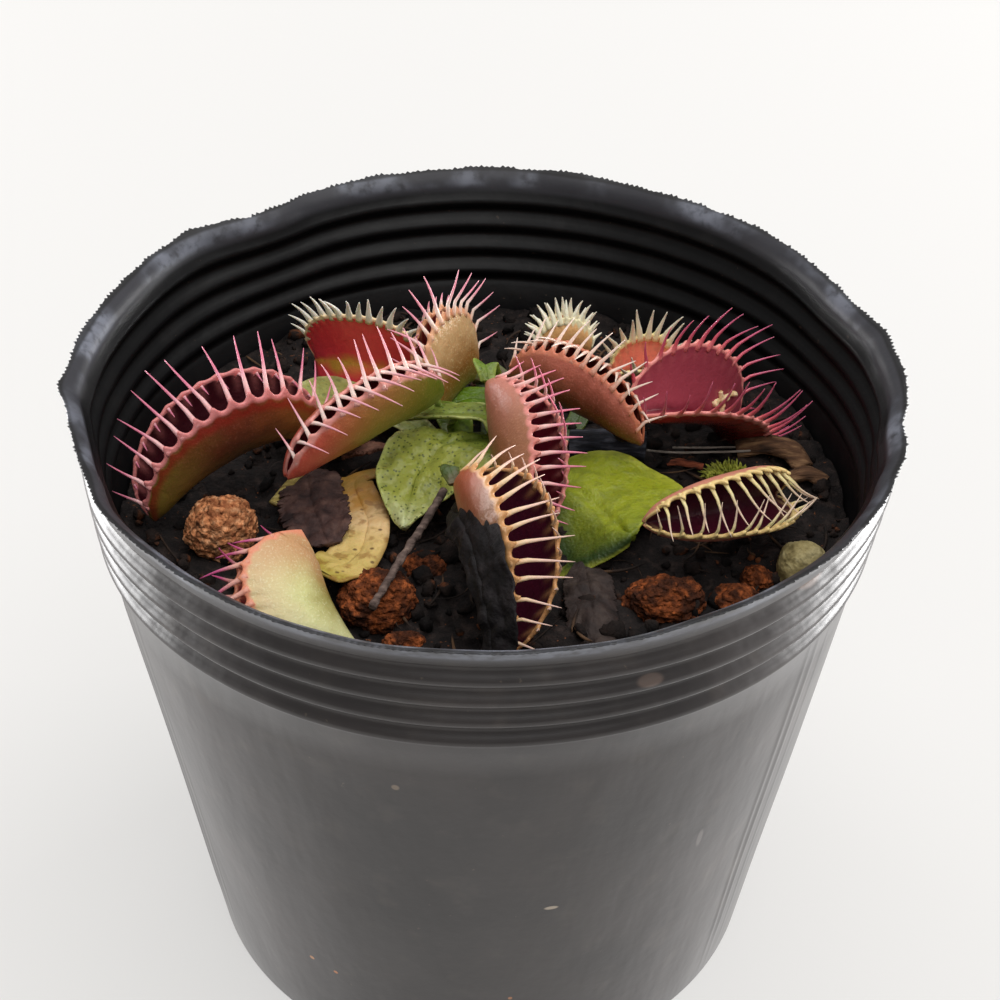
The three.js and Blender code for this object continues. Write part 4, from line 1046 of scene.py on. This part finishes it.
def blade_shape(line, blade, rng, wave=0.18, rows=100, columns=56, thickness=0.6, ragged=0.0, crinkle=0.12):
    """middle(t) + side h cos f + up (|h| sin f - groove exp(-(s / 0.09)^2) + waves), where s runs from the
    right edge, -1, to the left edge, 1, h is s times the half width on that side, and f is that side's
    fold."""
    t = np.linspace(0, 1, rows)
    s = np.linspace(-1, 1, columns + 1)[None, :]
    middle = smooth_line(line, t)
    forward = unit(np.gradient(middle, axis=0))
    side = unit(np.cross([0.0, 0.0, 1.0], forward))
    tilt = math.radians(blade.get("tilt", 0))
    side = side * math.cos(tilt) + np.cross(forward, side) * math.sin(tilt)
    up = np.cross(forward, side)
    left, right = blade_halves(blade, t)
    width = np.where(s > 0, left[:, None], right[:, None])
    if ragged:
        notch = rng.normal(0, 1, (rows, 1)) + rng.normal(0, 1, (rows, 1)) * np.sign(s)
        width = width * (1 - ragged * np.abs(notch) * ease(0.5, 1, np.abs(s)))
    folds = np.radians(np.broadcast_to(blade["fold"], 2))
    fold = np.where(s > 0, folds[0], folds[1])
    broad = 2 * float(left.max()) / 7
    lift = np.abs(s) * width * np.sin(fold) - 0.22 * broad * np.exp(-((s / 0.09) ** 2))
    phase = rng.uniform(0, 6, 4)
    lift = lift + wave * broad * np.abs(s) ** 2 * (
        np.sin(9 * t[:, None] + phase[0] + 1.5 * s) + 0.6 * np.sin(17 * t[:, None] + phase[1] - 2 * s))
    lift = lift + 0.10 * broad * np.sin(5 * t[:, None] + phase[2]) * (1 - s**2)
    flat = middle[:, None] + side[:, None] * (s * width * np.cos(fold))[..., None]
    lift = lift + crinkle * lumpy(flat, 1.6, int(rng.integers(1000)), 2) * np.minimum(1, width)
    grid = flat + up[:, None] * lift[..., None]
    sheet = thickness * (1 - 0.55 * np.abs(s) ** 3) * np.ones((rows, 1))
    marks = dict(along=np.repeat(t[:, None], columns + 1, axis=1), rim=np.abs(s) * np.ones((rows, 1)),
                 hand=s * np.ones((rows, 1)))
    return thick_sheet(grid - up[:, None] * (BLADE_THICKNESS / 2), sheet, marks)


# %% Blade finish
def blade_skin(name, base, body, edge, tip, speck=(60, 74, 30), speckles=0.5, gloss=0.4, fine=0.75,
               hanging_shade=None):
    """Green leaf skin: colour drifts from base to tip, the edge is paler, with dark speckles about fine
    millimetres apart and faint veins. The right half, where it hangs away from the light, can take a painted
    shade colour."""
    r = Recipe(name, roughness=gloss, specular=0.45, subsurface=0.1, depth=0.8)
    drift = r.drift(3.5, 4, 0.45)
    colour = r.ramp(r.math("ADD", r.mark("along"), drift), (0.05, rgb(*base)), (0.4, rgb(*body)),
                    (0.75, rgb(*body)), (1.0, rgb(*tip)))
    if hanging_shade:
        # painted shade: the right half, which hangs away from the light, turns a darker green
        shaded_half = r.step(r.math("ADD", r.mark("hand"), drift), 0.05, -0.75)
        colour = r.over(shaded_half, colour, rgb(*hanging_shade))
    pale = r.step(r.math("ADD", r.mark("rim"), drift), 0.78, 1.08)
    colour = r.tint(pale, 0.7, colour, rgb(*edge))
    blotch = r.step(r.noise(1.4, 4), 0.46, 0.62)
    colour = r.tint(blotch, 0.25, colour, rgb(*speck))
    dots = r.step(r.cells(fine), 0.34, 0.20)
    dots = r.math("MULTIPLY", dots, r.step(r.noise(2.5, 2), 0.32, 0.5))
    colour = r.tint(dots, speckles, colour, rgb(*speck))
    veins = r.bump(r.noise(0.7, 3), 0.14)
    return r.done(colour, r.bump(r.cells(0.4), 0.05, veins))


def withered_skin():
    """A dying leaf: cream where it dried, ochre to brown where it is wet, with stains, specks and dark torn
    edges."""
    r = Recipe("blade_withered", roughness=0.55, specular=0.35, subsurface=0.1, depth=0.6)
    drift = r.drift(3, 5, 0.5)
    colour = r.ramp(r.math("ADD", r.mark("along"), drift), (0.3, rgb(146, 118, 52)),
                    (0.46, rgb(196, 144, 68)), (0.58, rgb(230, 196, 144)), (0.72, rgb(222, 192, 122)),
                    (0.98, rgb(176, 160, 66)))
    stain = r.step(r.noise(1.5, 5), 0.54, 0.66)
    colour = r.tint(stain, 0.55, colour, rgb(146, 96, 48))
    spots = r.step(r.cells(1.6), 0.20, 0.08)
    colour = r.tint(spots, 0.8, colour, rgb(82, 52, 32))
    edge = r.step(r.math("ADD", r.mark("rim"), drift), 0.82, 1.05)
    colour = r.tint(edge, 0.6, colour, rgb(140, 100, 44))
    return r.done(colour, r.bump(r.noise(0.5, 4), 0.16, r.bump(r.noise(1.6, 3), 0.3)))


GREEN = blade_skin("blade_green", (130, 150, 60), (104, 132, 34), (150, 170, 76), (120, 140, 50))
BLADE_SKINS = dict(
    left=blade_skin("blade_pale", (130, 150, 70), (164, 168, 96), (216, 214, 150), (176, 160, 100),
                    speckles=0.35),
    # its darker hanging half is painted shade
    front_right=blade_skin("blade_bright", (128, 140, 28), (146, 156, 26), (190, 196, 70), (128, 144, 36),
                           speckles=0.2, hanging_shade=(44, 66, 24), gloss=0.5),
    front_left=withered_skin(),
    # painted shade: this stalk takes a near-black green, as it lies in shade
    right=blade_skin("blade_painted_shade", (40, 42, 26), (46, 50, 30), (60, 60, 40), (70, 40, 36)),
)
shaded = blade_skin("blade_shaded", (52, 70, 22), (62, 82, 26), (90, 104, 44), (96, 70, 40), speckles=0.3)
for name in ("front", "upright", "inner_right", "back_small", "back_pale"):
    BLADE_SKINS[name] = shaded
SPECKLED_SKIN = blade_skin("blade_spotted", (118, 136, 50), (152, 158, 68), (206, 214, 124), (204, 210, 156),
                           speck=(64, 78, 26), speckles=0.85, fine=0.5)


# %% Blades onto their traps
for number, leaf in enumerate(LEAVES):
    rng = np.random.default_rng(200 + number)
    blade = leaf["blade"]
    point, _, _, local = trap_place(leaf, float(leaf["joins"]), 0.0)
    mouth = np.cross(trap_axes(leaf)[2], local)
    away = local * leaf["joins"]
    end = point + away * NECK_GAP - mouth * leaf.get("drop", 0)
    last = [blade["end"]] if "end" in blade else [end] if leaf.get("drop") else [end + away * NECK_RUN, end]
    part = blade_shape(blade_line(blade, last), blade, rng)
    make_piece(f"leaf_{leaf['name']}", part, BLADE_SKINS.get(leaf["name"], GREEN),
               f"blade_{leaf['name']}")
part = blade_shape(np.array(SPECKLED["points"], float), SPECKLED, np.random.default_rng(240), wave=0.2,
                   crinkle=0.3)
make_piece("leaf_speckled", part, SPECKLED_SKIN, "blade_speckled")

# %% Two young leaves without traps
YOUNG = {
    "leaf_folded": dict(points=[(2.6, 2.9, 63.8), (0.4, 4.4, 65.3), (-4.6, 5, 65.5), (-9.6, 6.2, 64.3)],
                        fold=(20, 4), tilt=8, outline=[(0, 1, 1), (0.3, 3, 3), (0.6, 2.6, 2.6),
                                                       (0.85, 1.4, 1.4), (1, 0.2, 0.2)]),
    "leaf_tongue": dict(points=[(2.2, 6.4, 60.4), (3, 9.4, 61.6), (0.8, 11.8, 62.5), (-2.4, 11.6, 62.8),
                                (-5.4, 10, 62.4)], fold=(6, 6),
                        outline=[(0, 0.8, 0.8), (0.4, 1.9, 1.9), (0.7, 1.9, 1.9), (0.9, 1.1, 1.1),
                                 (1, 0.3, 0.3)]),
}
YOUNG_SKINS = dict(
    leaf_folded=blade_skin("blade_underside", (122, 144, 56), (140, 158, 70), (200, 206, 130), (130, 146, 60),
                           speck=(60, 70, 30), speckles=0.8, fine=0.6),
    leaf_tongue=blade_skin("blade_deep", (84, 112, 14), (96, 128, 16), (120, 150, 30), (90, 110, 24),
                           speckles=0.2),
)
for number, (name, leaf) in enumerate(YOUNG.items()):
    part = blade_shape(np.array(leaf["points"], float), leaf, np.random.default_rng(250 + number))
    make_piece(name, part, YOUNG_SKINS[name])


# %% The crown
def crown_shape(rows=60, steps=96):
    """A bulb: a closed profile carried round, with eight soft ridges where the leaf bases overlap."""
    side, top, bottom = CROWN["radius"], CROWN["top"], CROWN["bottom"]
    profile = [(0, bottom), (0.6 * side, bottom), (side, bottom + 3), (side, top - 2.2),
               (0.62 * side, top - 0.5), (0, top)]
    line = smooth_line([(r, 0, z) for r, z in profile], np.linspace(0, 1, rows))
    turn = np.linspace(0, 2 * np.pi, steps, endpoint=False)[None, :]
    ridge = 1 - 0.07 * np.abs(np.sin(4 * turn + 0.08 * line[:, 2:3]))
    reach = np.maximum(line[:, :1], 0) * ridge
    grid = np.stack([CROWN["x"] + reach * np.cos(turn), CROWN["y"] + reach * np.sin(turn),
                     line[:, 2:3] + 0 * turn], -1)
    return closed_tube(grid)


def crown_skin():
    r = Recipe("crown_skin", roughness=0.45, subsurface=0.15, depth=0.8)
    colour = r.ramp(r.noise(3, 4), (0.35, rgb(78, 92, 34)), (0.6, rgb(112, 126, 56)), (0.8, rgb(96, 76, 50)))
    return r.done(colour, r.bump(r.noise(0.8, 3, stretch=(1, 1, 0.2)), 0.2))


make_piece("crown_bulb", crown_shape(), crown_skin(), "crown")

# %% [markdown]
# ## What lies on the peat
# Balls of baked clay and one stone are balls pushed in and out by noise. Dead leaves are sheets made as the
# blades are, with torn edges. Bark and twig are noisy tubes.

# %% Pebbles
PEBBLES = [
    ("clay_ball", (-28.5, -9.5, 60), (3.7, 3.5, 3.6)),
    ("clay_front_left", (-11, -19.5, 58.5), (4, 3.6, 3)),
    ("clay_front_upper", (-6.3, -13.5, 57.8), (2.6, 2.4, 2)),
    ("clay_front_small", (-8.2, -25, 57.4), (2.2, 1.6, 1.4)),
    ("clay_right", (19, -18.5, 58), (4.2, 3, 2.8)),
    ("clay_right_small", (26.4, -18, 57.6), (2.7, 2.3, 2)),
    ("clay_right_upper", (29, -13.6, 57.2), (1.9, 1.7, 1.4)),
    ("stone_beige", (34, -12.6, 58), (2.9, 2.8, 2.8)),
]


def pebble_shape(at, size, seed, rows=130, columns=180, lumps=0.16, grit=0.035):
    """direction x size x (1 + lumps x wide noise + grit x fine noise)."""
    ball = ball_grid(rows, columns)
    wide = lumpy(ball, 0.8, seed, 2)
    fine = lumpy(ball, 0.17, seed + 1, 3)
    reach = 1 + lumps * wide + grit * fine
    reach[0], reach[-1] = reach[0].mean(), reach[-1].mean()
    grid = np.array(at) + ball * reach[..., None] * np.array(size)
    return grid.reshape(-1, 3), [quads(rows, columns, wrap=True)], {}


def baked_clay(name, dark, body, light, dusty):
    """Granular clay: grains about 0.6 mm across, each a little lighter or darker, dark pits between, peat
    dust."""
    r = Recipe(name, roughness=0.92, specular=0.15)
    grains = r.math("ADD", r.math("MULTIPLY", r.noise(0.7, 3), 0.75),
                    r.math("MULTIPLY", r.noise(2.4, 3), 0.25))
    colour = r.ramp(grains, (0.36, rgb(*dark)), (0.5, rgb(*body)), (0.66, rgb(*light)))
    pits = r.step(r.cells(0.8), 0.36, 0.62)
    colour = r.tint(pits, 0.45, colour, rgb(84, 44, 26))
    dust = r.step(r.noise(2.6, 5), 0.62 - 0.22 * dusty, 0.74 - 0.2 * dusty)
    colour = r.tint(dust, 0.8, colour, rgb(40, 26, 22))
    rough = r.bump(r.cells(0.55), -0.30, r.bump(r.noise(0.9, 3), 0.5))
    return r.done(colour, r.bump(r.noise(0.25, 3), 0.14, rough))


def beige_stone():
    r = Recipe("beige_stone", roughness=0.8, specular=0.3)
    colour = r.ramp(r.noise(1.4, 5), (0.3, rgb(112, 100, 62)), (0.5, rgb(160, 146, 100)),
                    (0.75, rgb(196, 184, 140)))
    return r.done(colour, r.bump(r.noise(0.5, 4), 0.15))


CLAY = baked_clay("clay_dry", (168, 102, 66), (220, 148, 100), (244, 184, 138), 0.05)
DAMP_CLAY = baked_clay("clay_damp", (84, 44, 26), (138, 74, 40), (190, 104, 56), 0.9)
STONE = beige_stone()
for number, (name, at, size) in enumerate(PEBBLES):
    stone = name.startswith("stone")
    skin = STONE if stone else CLAY if name == "clay_ball" else DAMP_CLAY
    part = pebble_shape(at, size, 300 + 10 * number, lumps=0.10, grit=0.025 if stone else 0.055)
    make_piece(f"{name}_grain", part, skin, name)

# %% Dead leaves
LITTER = {
    "dead_leaf_black": dict(points=[(-3.6, -13.6, 66), (-3, -18.8, 69.5), (-1.4, -26, 69.6), (0.1, -31.2, 66),
                                    (0.8, -33.9, 61.6)],
                            fold=(-4, -12), tilt=56, wave=0.08, ragged=0.012,
                            outline=[(0, 1.6, 1.2), (0.15, 3.2, 2.6), (0.4, 4.1, 2), (0.7, 3.9, 1.6),
                                     (1, 1.8, 1)]),
    "dead_leaf_brown": dict(points=[(10.6, -12.6, 58.9), (11, -18, 59.6), (11.2, -24, 59.5),
                                    (11.2, -29.5, 58.8)],
                            fold=-10, wave=0.2, ragged=0.05,
                            outline=[(0, 1, 1), (0.3, 2.7, 2.7), (0.7, 2.7, 2.7), (1, 1.2, 1.2)]),
    "dead_leaf_patch": dict(points=[(-20, 1, 60.2), (-19.2, -3.5, 61.2), (-18.2, -8, 61.2),
                                    (-16.6, -12.4, 60.8)],
                            fold=(4, -12), wave=0.25, ragged=0.07,
                            outline=[(0, 1.6, 1.6), (0.2, 3.6, 3.2), (0.5, 3.9, 3.9), (0.8, 3.4, 3.6),
                                     (1, 1.4, 1.4)]),
    "dead_leaf_shred": dict(points=[(-16.2, 3, 61), (-13, 4, 61.3), (-10.8, 4.6, 61.2)], width=1.6,
                            widest=0.5, root=1, neck=1, fold=8, wave=0.5, ragged=0.15),
}


def dead_skin(name, dark, body, light, gloss=0.7):
    """A dry leaf: charcoal to brown, wrinkled along its length."""
    r = Recipe(name, roughness=gloss, specular=0.3)
    colour = r.ramp(r.noise(1.8, 5), (0.3, rgb(*dark)), (0.52, rgb(*body)), (0.78, rgb(*light)))
    return r.done(colour, r.bump(r.noise(0.5, 4), 0.18, r.bump(r.noise(1.8, 3), 0.3)))


DEAD_SKINS = dict(
    dead_leaf_black=dead_skin("dead_charcoal", (14, 12, 13), (27, 23, 25), (44, 38, 40)),
    dead_leaf_brown=dead_skin("dead_brown", (34, 27, 26), (54, 43, 40), (78, 66, 60)),
    dead_leaf_patch=dead_skin("dead_plum", (42, 30, 30), (76, 54, 50), (112, 84, 74)),
    dead_leaf_shred=dead_skin("dead_shred", (66, 40, 32), (110, 72, 58), (150, 110, 90)),
)
for number, (name, leaf) in enumerate(LITTER.items()):
    part = blade_shape(np.array(leaf["points"], float), leaf, np.random.default_rng(400 + number),
                       wave=leaf["wave"], ragged=leaf["ragged"], crinkle=0.3)
    make_piece(f"{name}_sheet", part, DEAD_SKINS[name], name)


# %% Bark, twig and straw
def bark_skin(name, dark, body, light):
    r = Recipe(name, roughness=0.85, specular=0.25)
    colour = r.ramp(r.noise(1.5, 6, stretch=(0.4, 2, 2)), (0.3, rgb(*dark)), (0.52, rgb(*body)),
                    (0.75, rgb(*light)))
    return r.done(colour, r.bump(r.noise(0.7, 4, stretch=(0.3, 2, 2)), 0.35))


def noisy_tube(points, radius, seed, rows=70, columns=20, flat=1.0, rough=0.16):
    """A ring carried along a smooth line, its radius times (1 + rough x noise), squashed by flat upward."""
    t = np.linspace(0, 1, rows)
    middle = smooth_line(points, t)
    forward = unit(np.gradient(middle, axis=0))
    side = unit(np.cross([0.0, 0.0, 1.0], forward))
    up = np.cross(forward, side)
    turn = np.linspace(0, 2 * np.pi, columns, endpoint=False)[:, None]
    section = side[:, None] * np.cos(turn) + flat * up[:, None] * np.sin(turn)
    reach = radius * (1 + rough * lumpy(middle[:, None] + radius * section, 2.2 * radius, seed, 3))
    return closed_tube(middle[:, None] + reach[..., None] * section)


GREY_BARK = bark_skin("grey_bark", (22, 22, 26), (44, 46, 54), (96, 98, 108))
BROWN_BARK = bark_skin("brown_bark", (44, 30, 22), (96, 68, 48), (156, 122, 88))
TWIG_SKIN = bark_skin("twig_skin", (62, 50, 46), (104, 88, 82), (150, 130, 120))
RED_BARK = bark_skin("red_bark", (70, 34, 24), (140, 74, 50), (190, 112, 76))
ROOT_SKIN = bark_skin("root_skin", (110, 100, 92), (158, 148, 138), (196, 188, 176))
STRAW_SKIN = bark_skin("straw_skin", (120, 100, 56), (176, 158, 90), (206, 192, 130))
TUBES = [
    ("bark_grey", [(9.6, 6.8, 59.8), (13.2, 6.5, 60.2), (18, 6.2, 59.8)], 1.9, 0.9, GREY_BARK, "bark"),
    ("bark_chip_right", [(28.8, 8.6, 58), (32, 8.6, 58.9), (35, 7.6, 58.6), (36.2, 5.6, 57.8)], 1.35, 0.6,
     BROWN_BARK,
     "bark"),
    ("bark_chip_edge", [(34.6, 4.2, 57.6), (36.6, 3.9, 58.1), (38.2, 2.9, 57.5)], 1.2, 0.6, BROWN_BARK,
     "bark"),
    ("twig", [(-4.4, -7.4, 63.9), (-6.6, -12.5, 63), (-9.2, -18.5, 62.2), (-11.4, -24, 61.4)], 0.45, 1,
     TWIG_SKIN,
     "bark"),
    ("straw", [(-19.6, 2, 60.4), (-21.4, -1.4, 60.2), (-23.2, -4.6, 59.6)], 0.6, 0.7, STRAW_SKIN, "straw"),
]
BITS = [
    ("bark_red", [(20.6, 5.2, 58.6), (22.4, 4.9, 58.9), (24.6, 4.4, 58.7)], 0.5, 0.7, RED_BARK, "bark"),
    ("root_hair_long", [(18.4, 7.8, 58.4), (21, 6.8, 58.9), (25.6, 6.8, 59), (30, 7.4, 58.8),
                        (34, 8.6, 58.4)], 0.13, 1,
     ROOT_SKIN, "straw"),
    ("root_hair_short", [(21.4, 8.4, 58.4), (25, 7.9, 58.8), (28.6, 8.4, 58.6)], 0.12, 1, ROOT_SKIN, "straw"),
]
for number, (name, points, radius, flat, skin, slot) in enumerate(TUBES + BITS):
    part = noisy_tube(points, radius, 500 + number, flat=flat, rough=0.1 if slot == "straw" else 0.22)
    make_piece(f"{name}_grown", part, skin, name if number < len(TUBES) else None)


# %% Moss
def moss_shape(count=260, seed=61):
    """A cushion of small leaves: each is a three-row spike that leaves the cushion's dome outward and up."""
    rng = np.random.default_rng(seed)
    rows, columns = 4, 4
    low, high = (np.array(corner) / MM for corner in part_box("moss_tuft"))
    centre, half = (low + high) / 2, (high - low) / 2
    reach = np.sqrt(rng.uniform(0, 1, count))
    turn = rng.uniform(0, 2 * np.pi, count)
    dome = np.stack([reach * np.cos(turn), reach * np.sin(turn), 0.35 * (1 - reach**2)], -1)
    root = centre + dome * half - [0, 0, 0.5]
    way = unit(dome * [0.8, 0.8, 1] + rng.normal(0, 0.35, (count, 3)) + [0, 0, 0.7])
    length = rng.uniform(0.8, 1.7, count)[:, None, None]
    t = np.linspace(0, 1, rows)[:, None]
    line = root[:, None] + length * (way[:, None] * t - np.array([0, 0, 0.25]) * t**2)
    side = unit(np.cross(way, rng.normal(size=(count, 3))))
    thin = np.cross(way, side)
    ring = np.linspace(0, 2 * np.pi, columns, endpoint=False)[:, None]
    section = side[:, None, None] * np.cos(ring) + 0.5 * thin[:, None, None] * np.sin(ring)
    half_width = 0.17 * np.sin(np.pi * (0.15 + 0.85 * t)) + 0.01
    shapes = line[:, :, None] + half_width[None, :, :, None] * section
    faces = [repeated(shapes, rows, columns)]
    ball = ball_grid(20, 28)
    lumps = 1 + 0.08 * lumpy(ball, 0.5, 62, 2)
    cushion = centre - [0, 0, 0.55] + ball * lumps[..., None] * half * [0.95, 0.95, 0.6]
    faces.append((cushion.reshape(-1, 3), [quads(20, 28, wrap=True)], {}))
    return gather(faces)


def moss_skin():
    r = Recipe("moss_skin", roughness=0.7, subsurface=0.1)
    colour = r.ramp(r.noise(0.8, 3), (0.3, rgb(92, 98, 30)), (0.55, rgb(150, 156, 50)),
                    (0.8, rgb(204, 204, 90)))
    return r.done(colour)


make_piece("moss_leaves", moss_shape(), moss_skin(), "moss_tuft")

# %% A husk stuck in the red trap
def husk_shape():
    """Two short crossed tubes that follow the lobe's own surface, 0.6 mm above it."""
    trap = next(leaf for leaf in LEAVES if leaf["name"] == "right")
    parts = []
    for number, places in enumerate((((0.26, -0.24), (0.38, -0.40), (0.46, -0.5), (0.55, -0.68)),
                                     ((0.46, -0.22), (0.40, -0.38), (0.30, -0.46)))):
        u, v = np.array(places).T
        point, _, inward, _ = trap_place(trap, u, v)
        parts.append(noisy_tube(point + 0.6 * inward, 0.34, 560 + number, rows=40, rough=0.5))
    return gather(parts)


def husk_skin():
    r = Recipe("husk_skin", roughness=0.6, subsurface=0.1, depth=0.4)
    return r.done(r.ramp(r.noise(0.5, 3), (0.3, rgb(206, 158, 96)), (0.55, rgb(246, 222, 176))))


make_piece("husk", husk_shape(), husk_skin())

# %% [markdown]
# ## Floor, light and camera
# A white floor under one very wide light, high above the plant and a little to its right, as under a
# skylight. A weak panel behind the plant and one in front of it soften its shadows, and two low lamps, right
# and left, draw a pale line down each edge of the pot. The room itself gives little, so leaves are bright on
# top and sink into shade below, and the pot's inside stays dark.

# %% Floor and light
FLOOR_REACH = 3.0


def pale_floor():
    """White board that also glows a little, which keeps the shadow at the pot's foot faint."""
    r = Recipe("pale_floor", roughness=0.9, specular=0.1)
    r.shader.inputs["Emission Color"].default_value = rgb(255, 254, 252)
    r.shader.inputs["Emission Strength"].default_value = 0.50
    return r.done(r.ramp(r.noise(400, 1), (0.3, rgb(146, 145, 144)), (0.7, rgb(149, 148, 147))))


floor_mesh = bpy.data.meshes.new("floor")
corners = [(-1, -1), (1, -1), (1, 1), (-1, 1)]
floor_mesh.from_pydata([(x * FLOOR_REACH, y * FLOOR_REACH, 0) for x, y in corners], [], [(0, 1, 2, 3)])
floor_mesh.materials.append(pale_floor())
floor = bpy.data.objects.new("floor", floor_mesh)
bpy.context.scene.collection.objects.link(floor)

world = bpy.data.worlds.new("studio")
bpy.context.scene.world = world
world.use_nodes = True
world.node_tree.nodes["Background"].inputs["Color"].default_value = (1.0, 0.985, 0.965, 1)
world.node_tree.nodes["Background"].inputs["Strength"].default_value = 0.30


def aimed(light, place, target=(0, 0, 0.065)):
    """A lamp standing at place and turned to face the target."""
    lamp = bpy.data.objects.new(light.name, light)
    lamp.location = place
    lamp.rotation_euler = (Vector(target) - Vector(place)).to_track_quat("-Z", "Y").to_euler()
    bpy.context.scene.collection.objects.link(lamp)
    return lamp


window = bpy.data.lights.new("window", "SUN")
window.energy, window.angle, window.color = 1.9, math.radians(60), (1.0, 0.985, 0.96)
aimed(window, (0.25, -0.04, 1.15))
panel = bpy.data.lights.new("panel", "AREA")
panel.shape, panel.size, panel.size_y, panel.energy = "RECTANGLE", 0.9, 0.5, 2.0
aimed(panel, (-0.15, 0.75, 0.95))
front = bpy.data.lights.new("front", "AREA")
front.shape, front.size, front.size_y, front.energy = "RECTANGLE", 0.8, 0.5, 1.5
aimed(front, (0.1, -0.8, 0.85))
for name, side, watts in (("right_edge", 1, 10.5), ("left_edge", -1, 7.5)):
    edge = bpy.data.lights.new(name, "AREA")
    edge.shape, edge.size, edge.size_y, edge.energy = "RECTANGLE", 0.5, 0.10, watts
    aimed(edge, (side * 0.60, 0.28, 0.062), (0, 0, 0.035))
bpy.context.scene.view_settings.view_transform = "Standard"
print("lights:", [lamp.name for lamp in bpy.data.lights])

# %% Camera
TARGET_HEIGHT, DISTANCE, ELEVATION = 74, 226.5, 34.22
PITCH, YAW, ROLL, LENS = 37.63, 0.5, 1.01, 76.07


def aimed_camera():
    """Stands on a line from the lip's centre, raised by the elevation; looks down by the pitch, with a small
    roll."""
    e, p, y, r = (math.radians(angle) for angle in (ELEVATION, PITCH, YAW, ROLL))
    place = Vector((0, -DISTANCE * math.cos(e), TARGET_HEIGHT + DISTANCE * math.sin(e))) * MM
    forward = Vector((math.sin(y) * math.cos(p), math.cos(y) * math.cos(p), -math.sin(p)))
    level = Vector((math.cos(y), -math.sin(y), 0))
    upright = level.cross(forward)
    right = level * math.cos(r) + upright * math.sin(r)
    up = upright * math.cos(r) - level * math.sin(r)
    lens = bpy.data.cameras.new("camera")
    lens.lens, lens.sensor_width, lens.clip_start, lens.clip_end = LENS, 36, 0.01, 20
    camera = bpy.data.objects.new("camera", lens)
    camera.matrix_world = Matrix.Translation(place) @ Matrix((right, up, -forward)).transposed().to_4x4()
    bpy.context.scene.collection.objects.link(camera)
    return camera


bpy.context.scene.camera = aimed_camera()
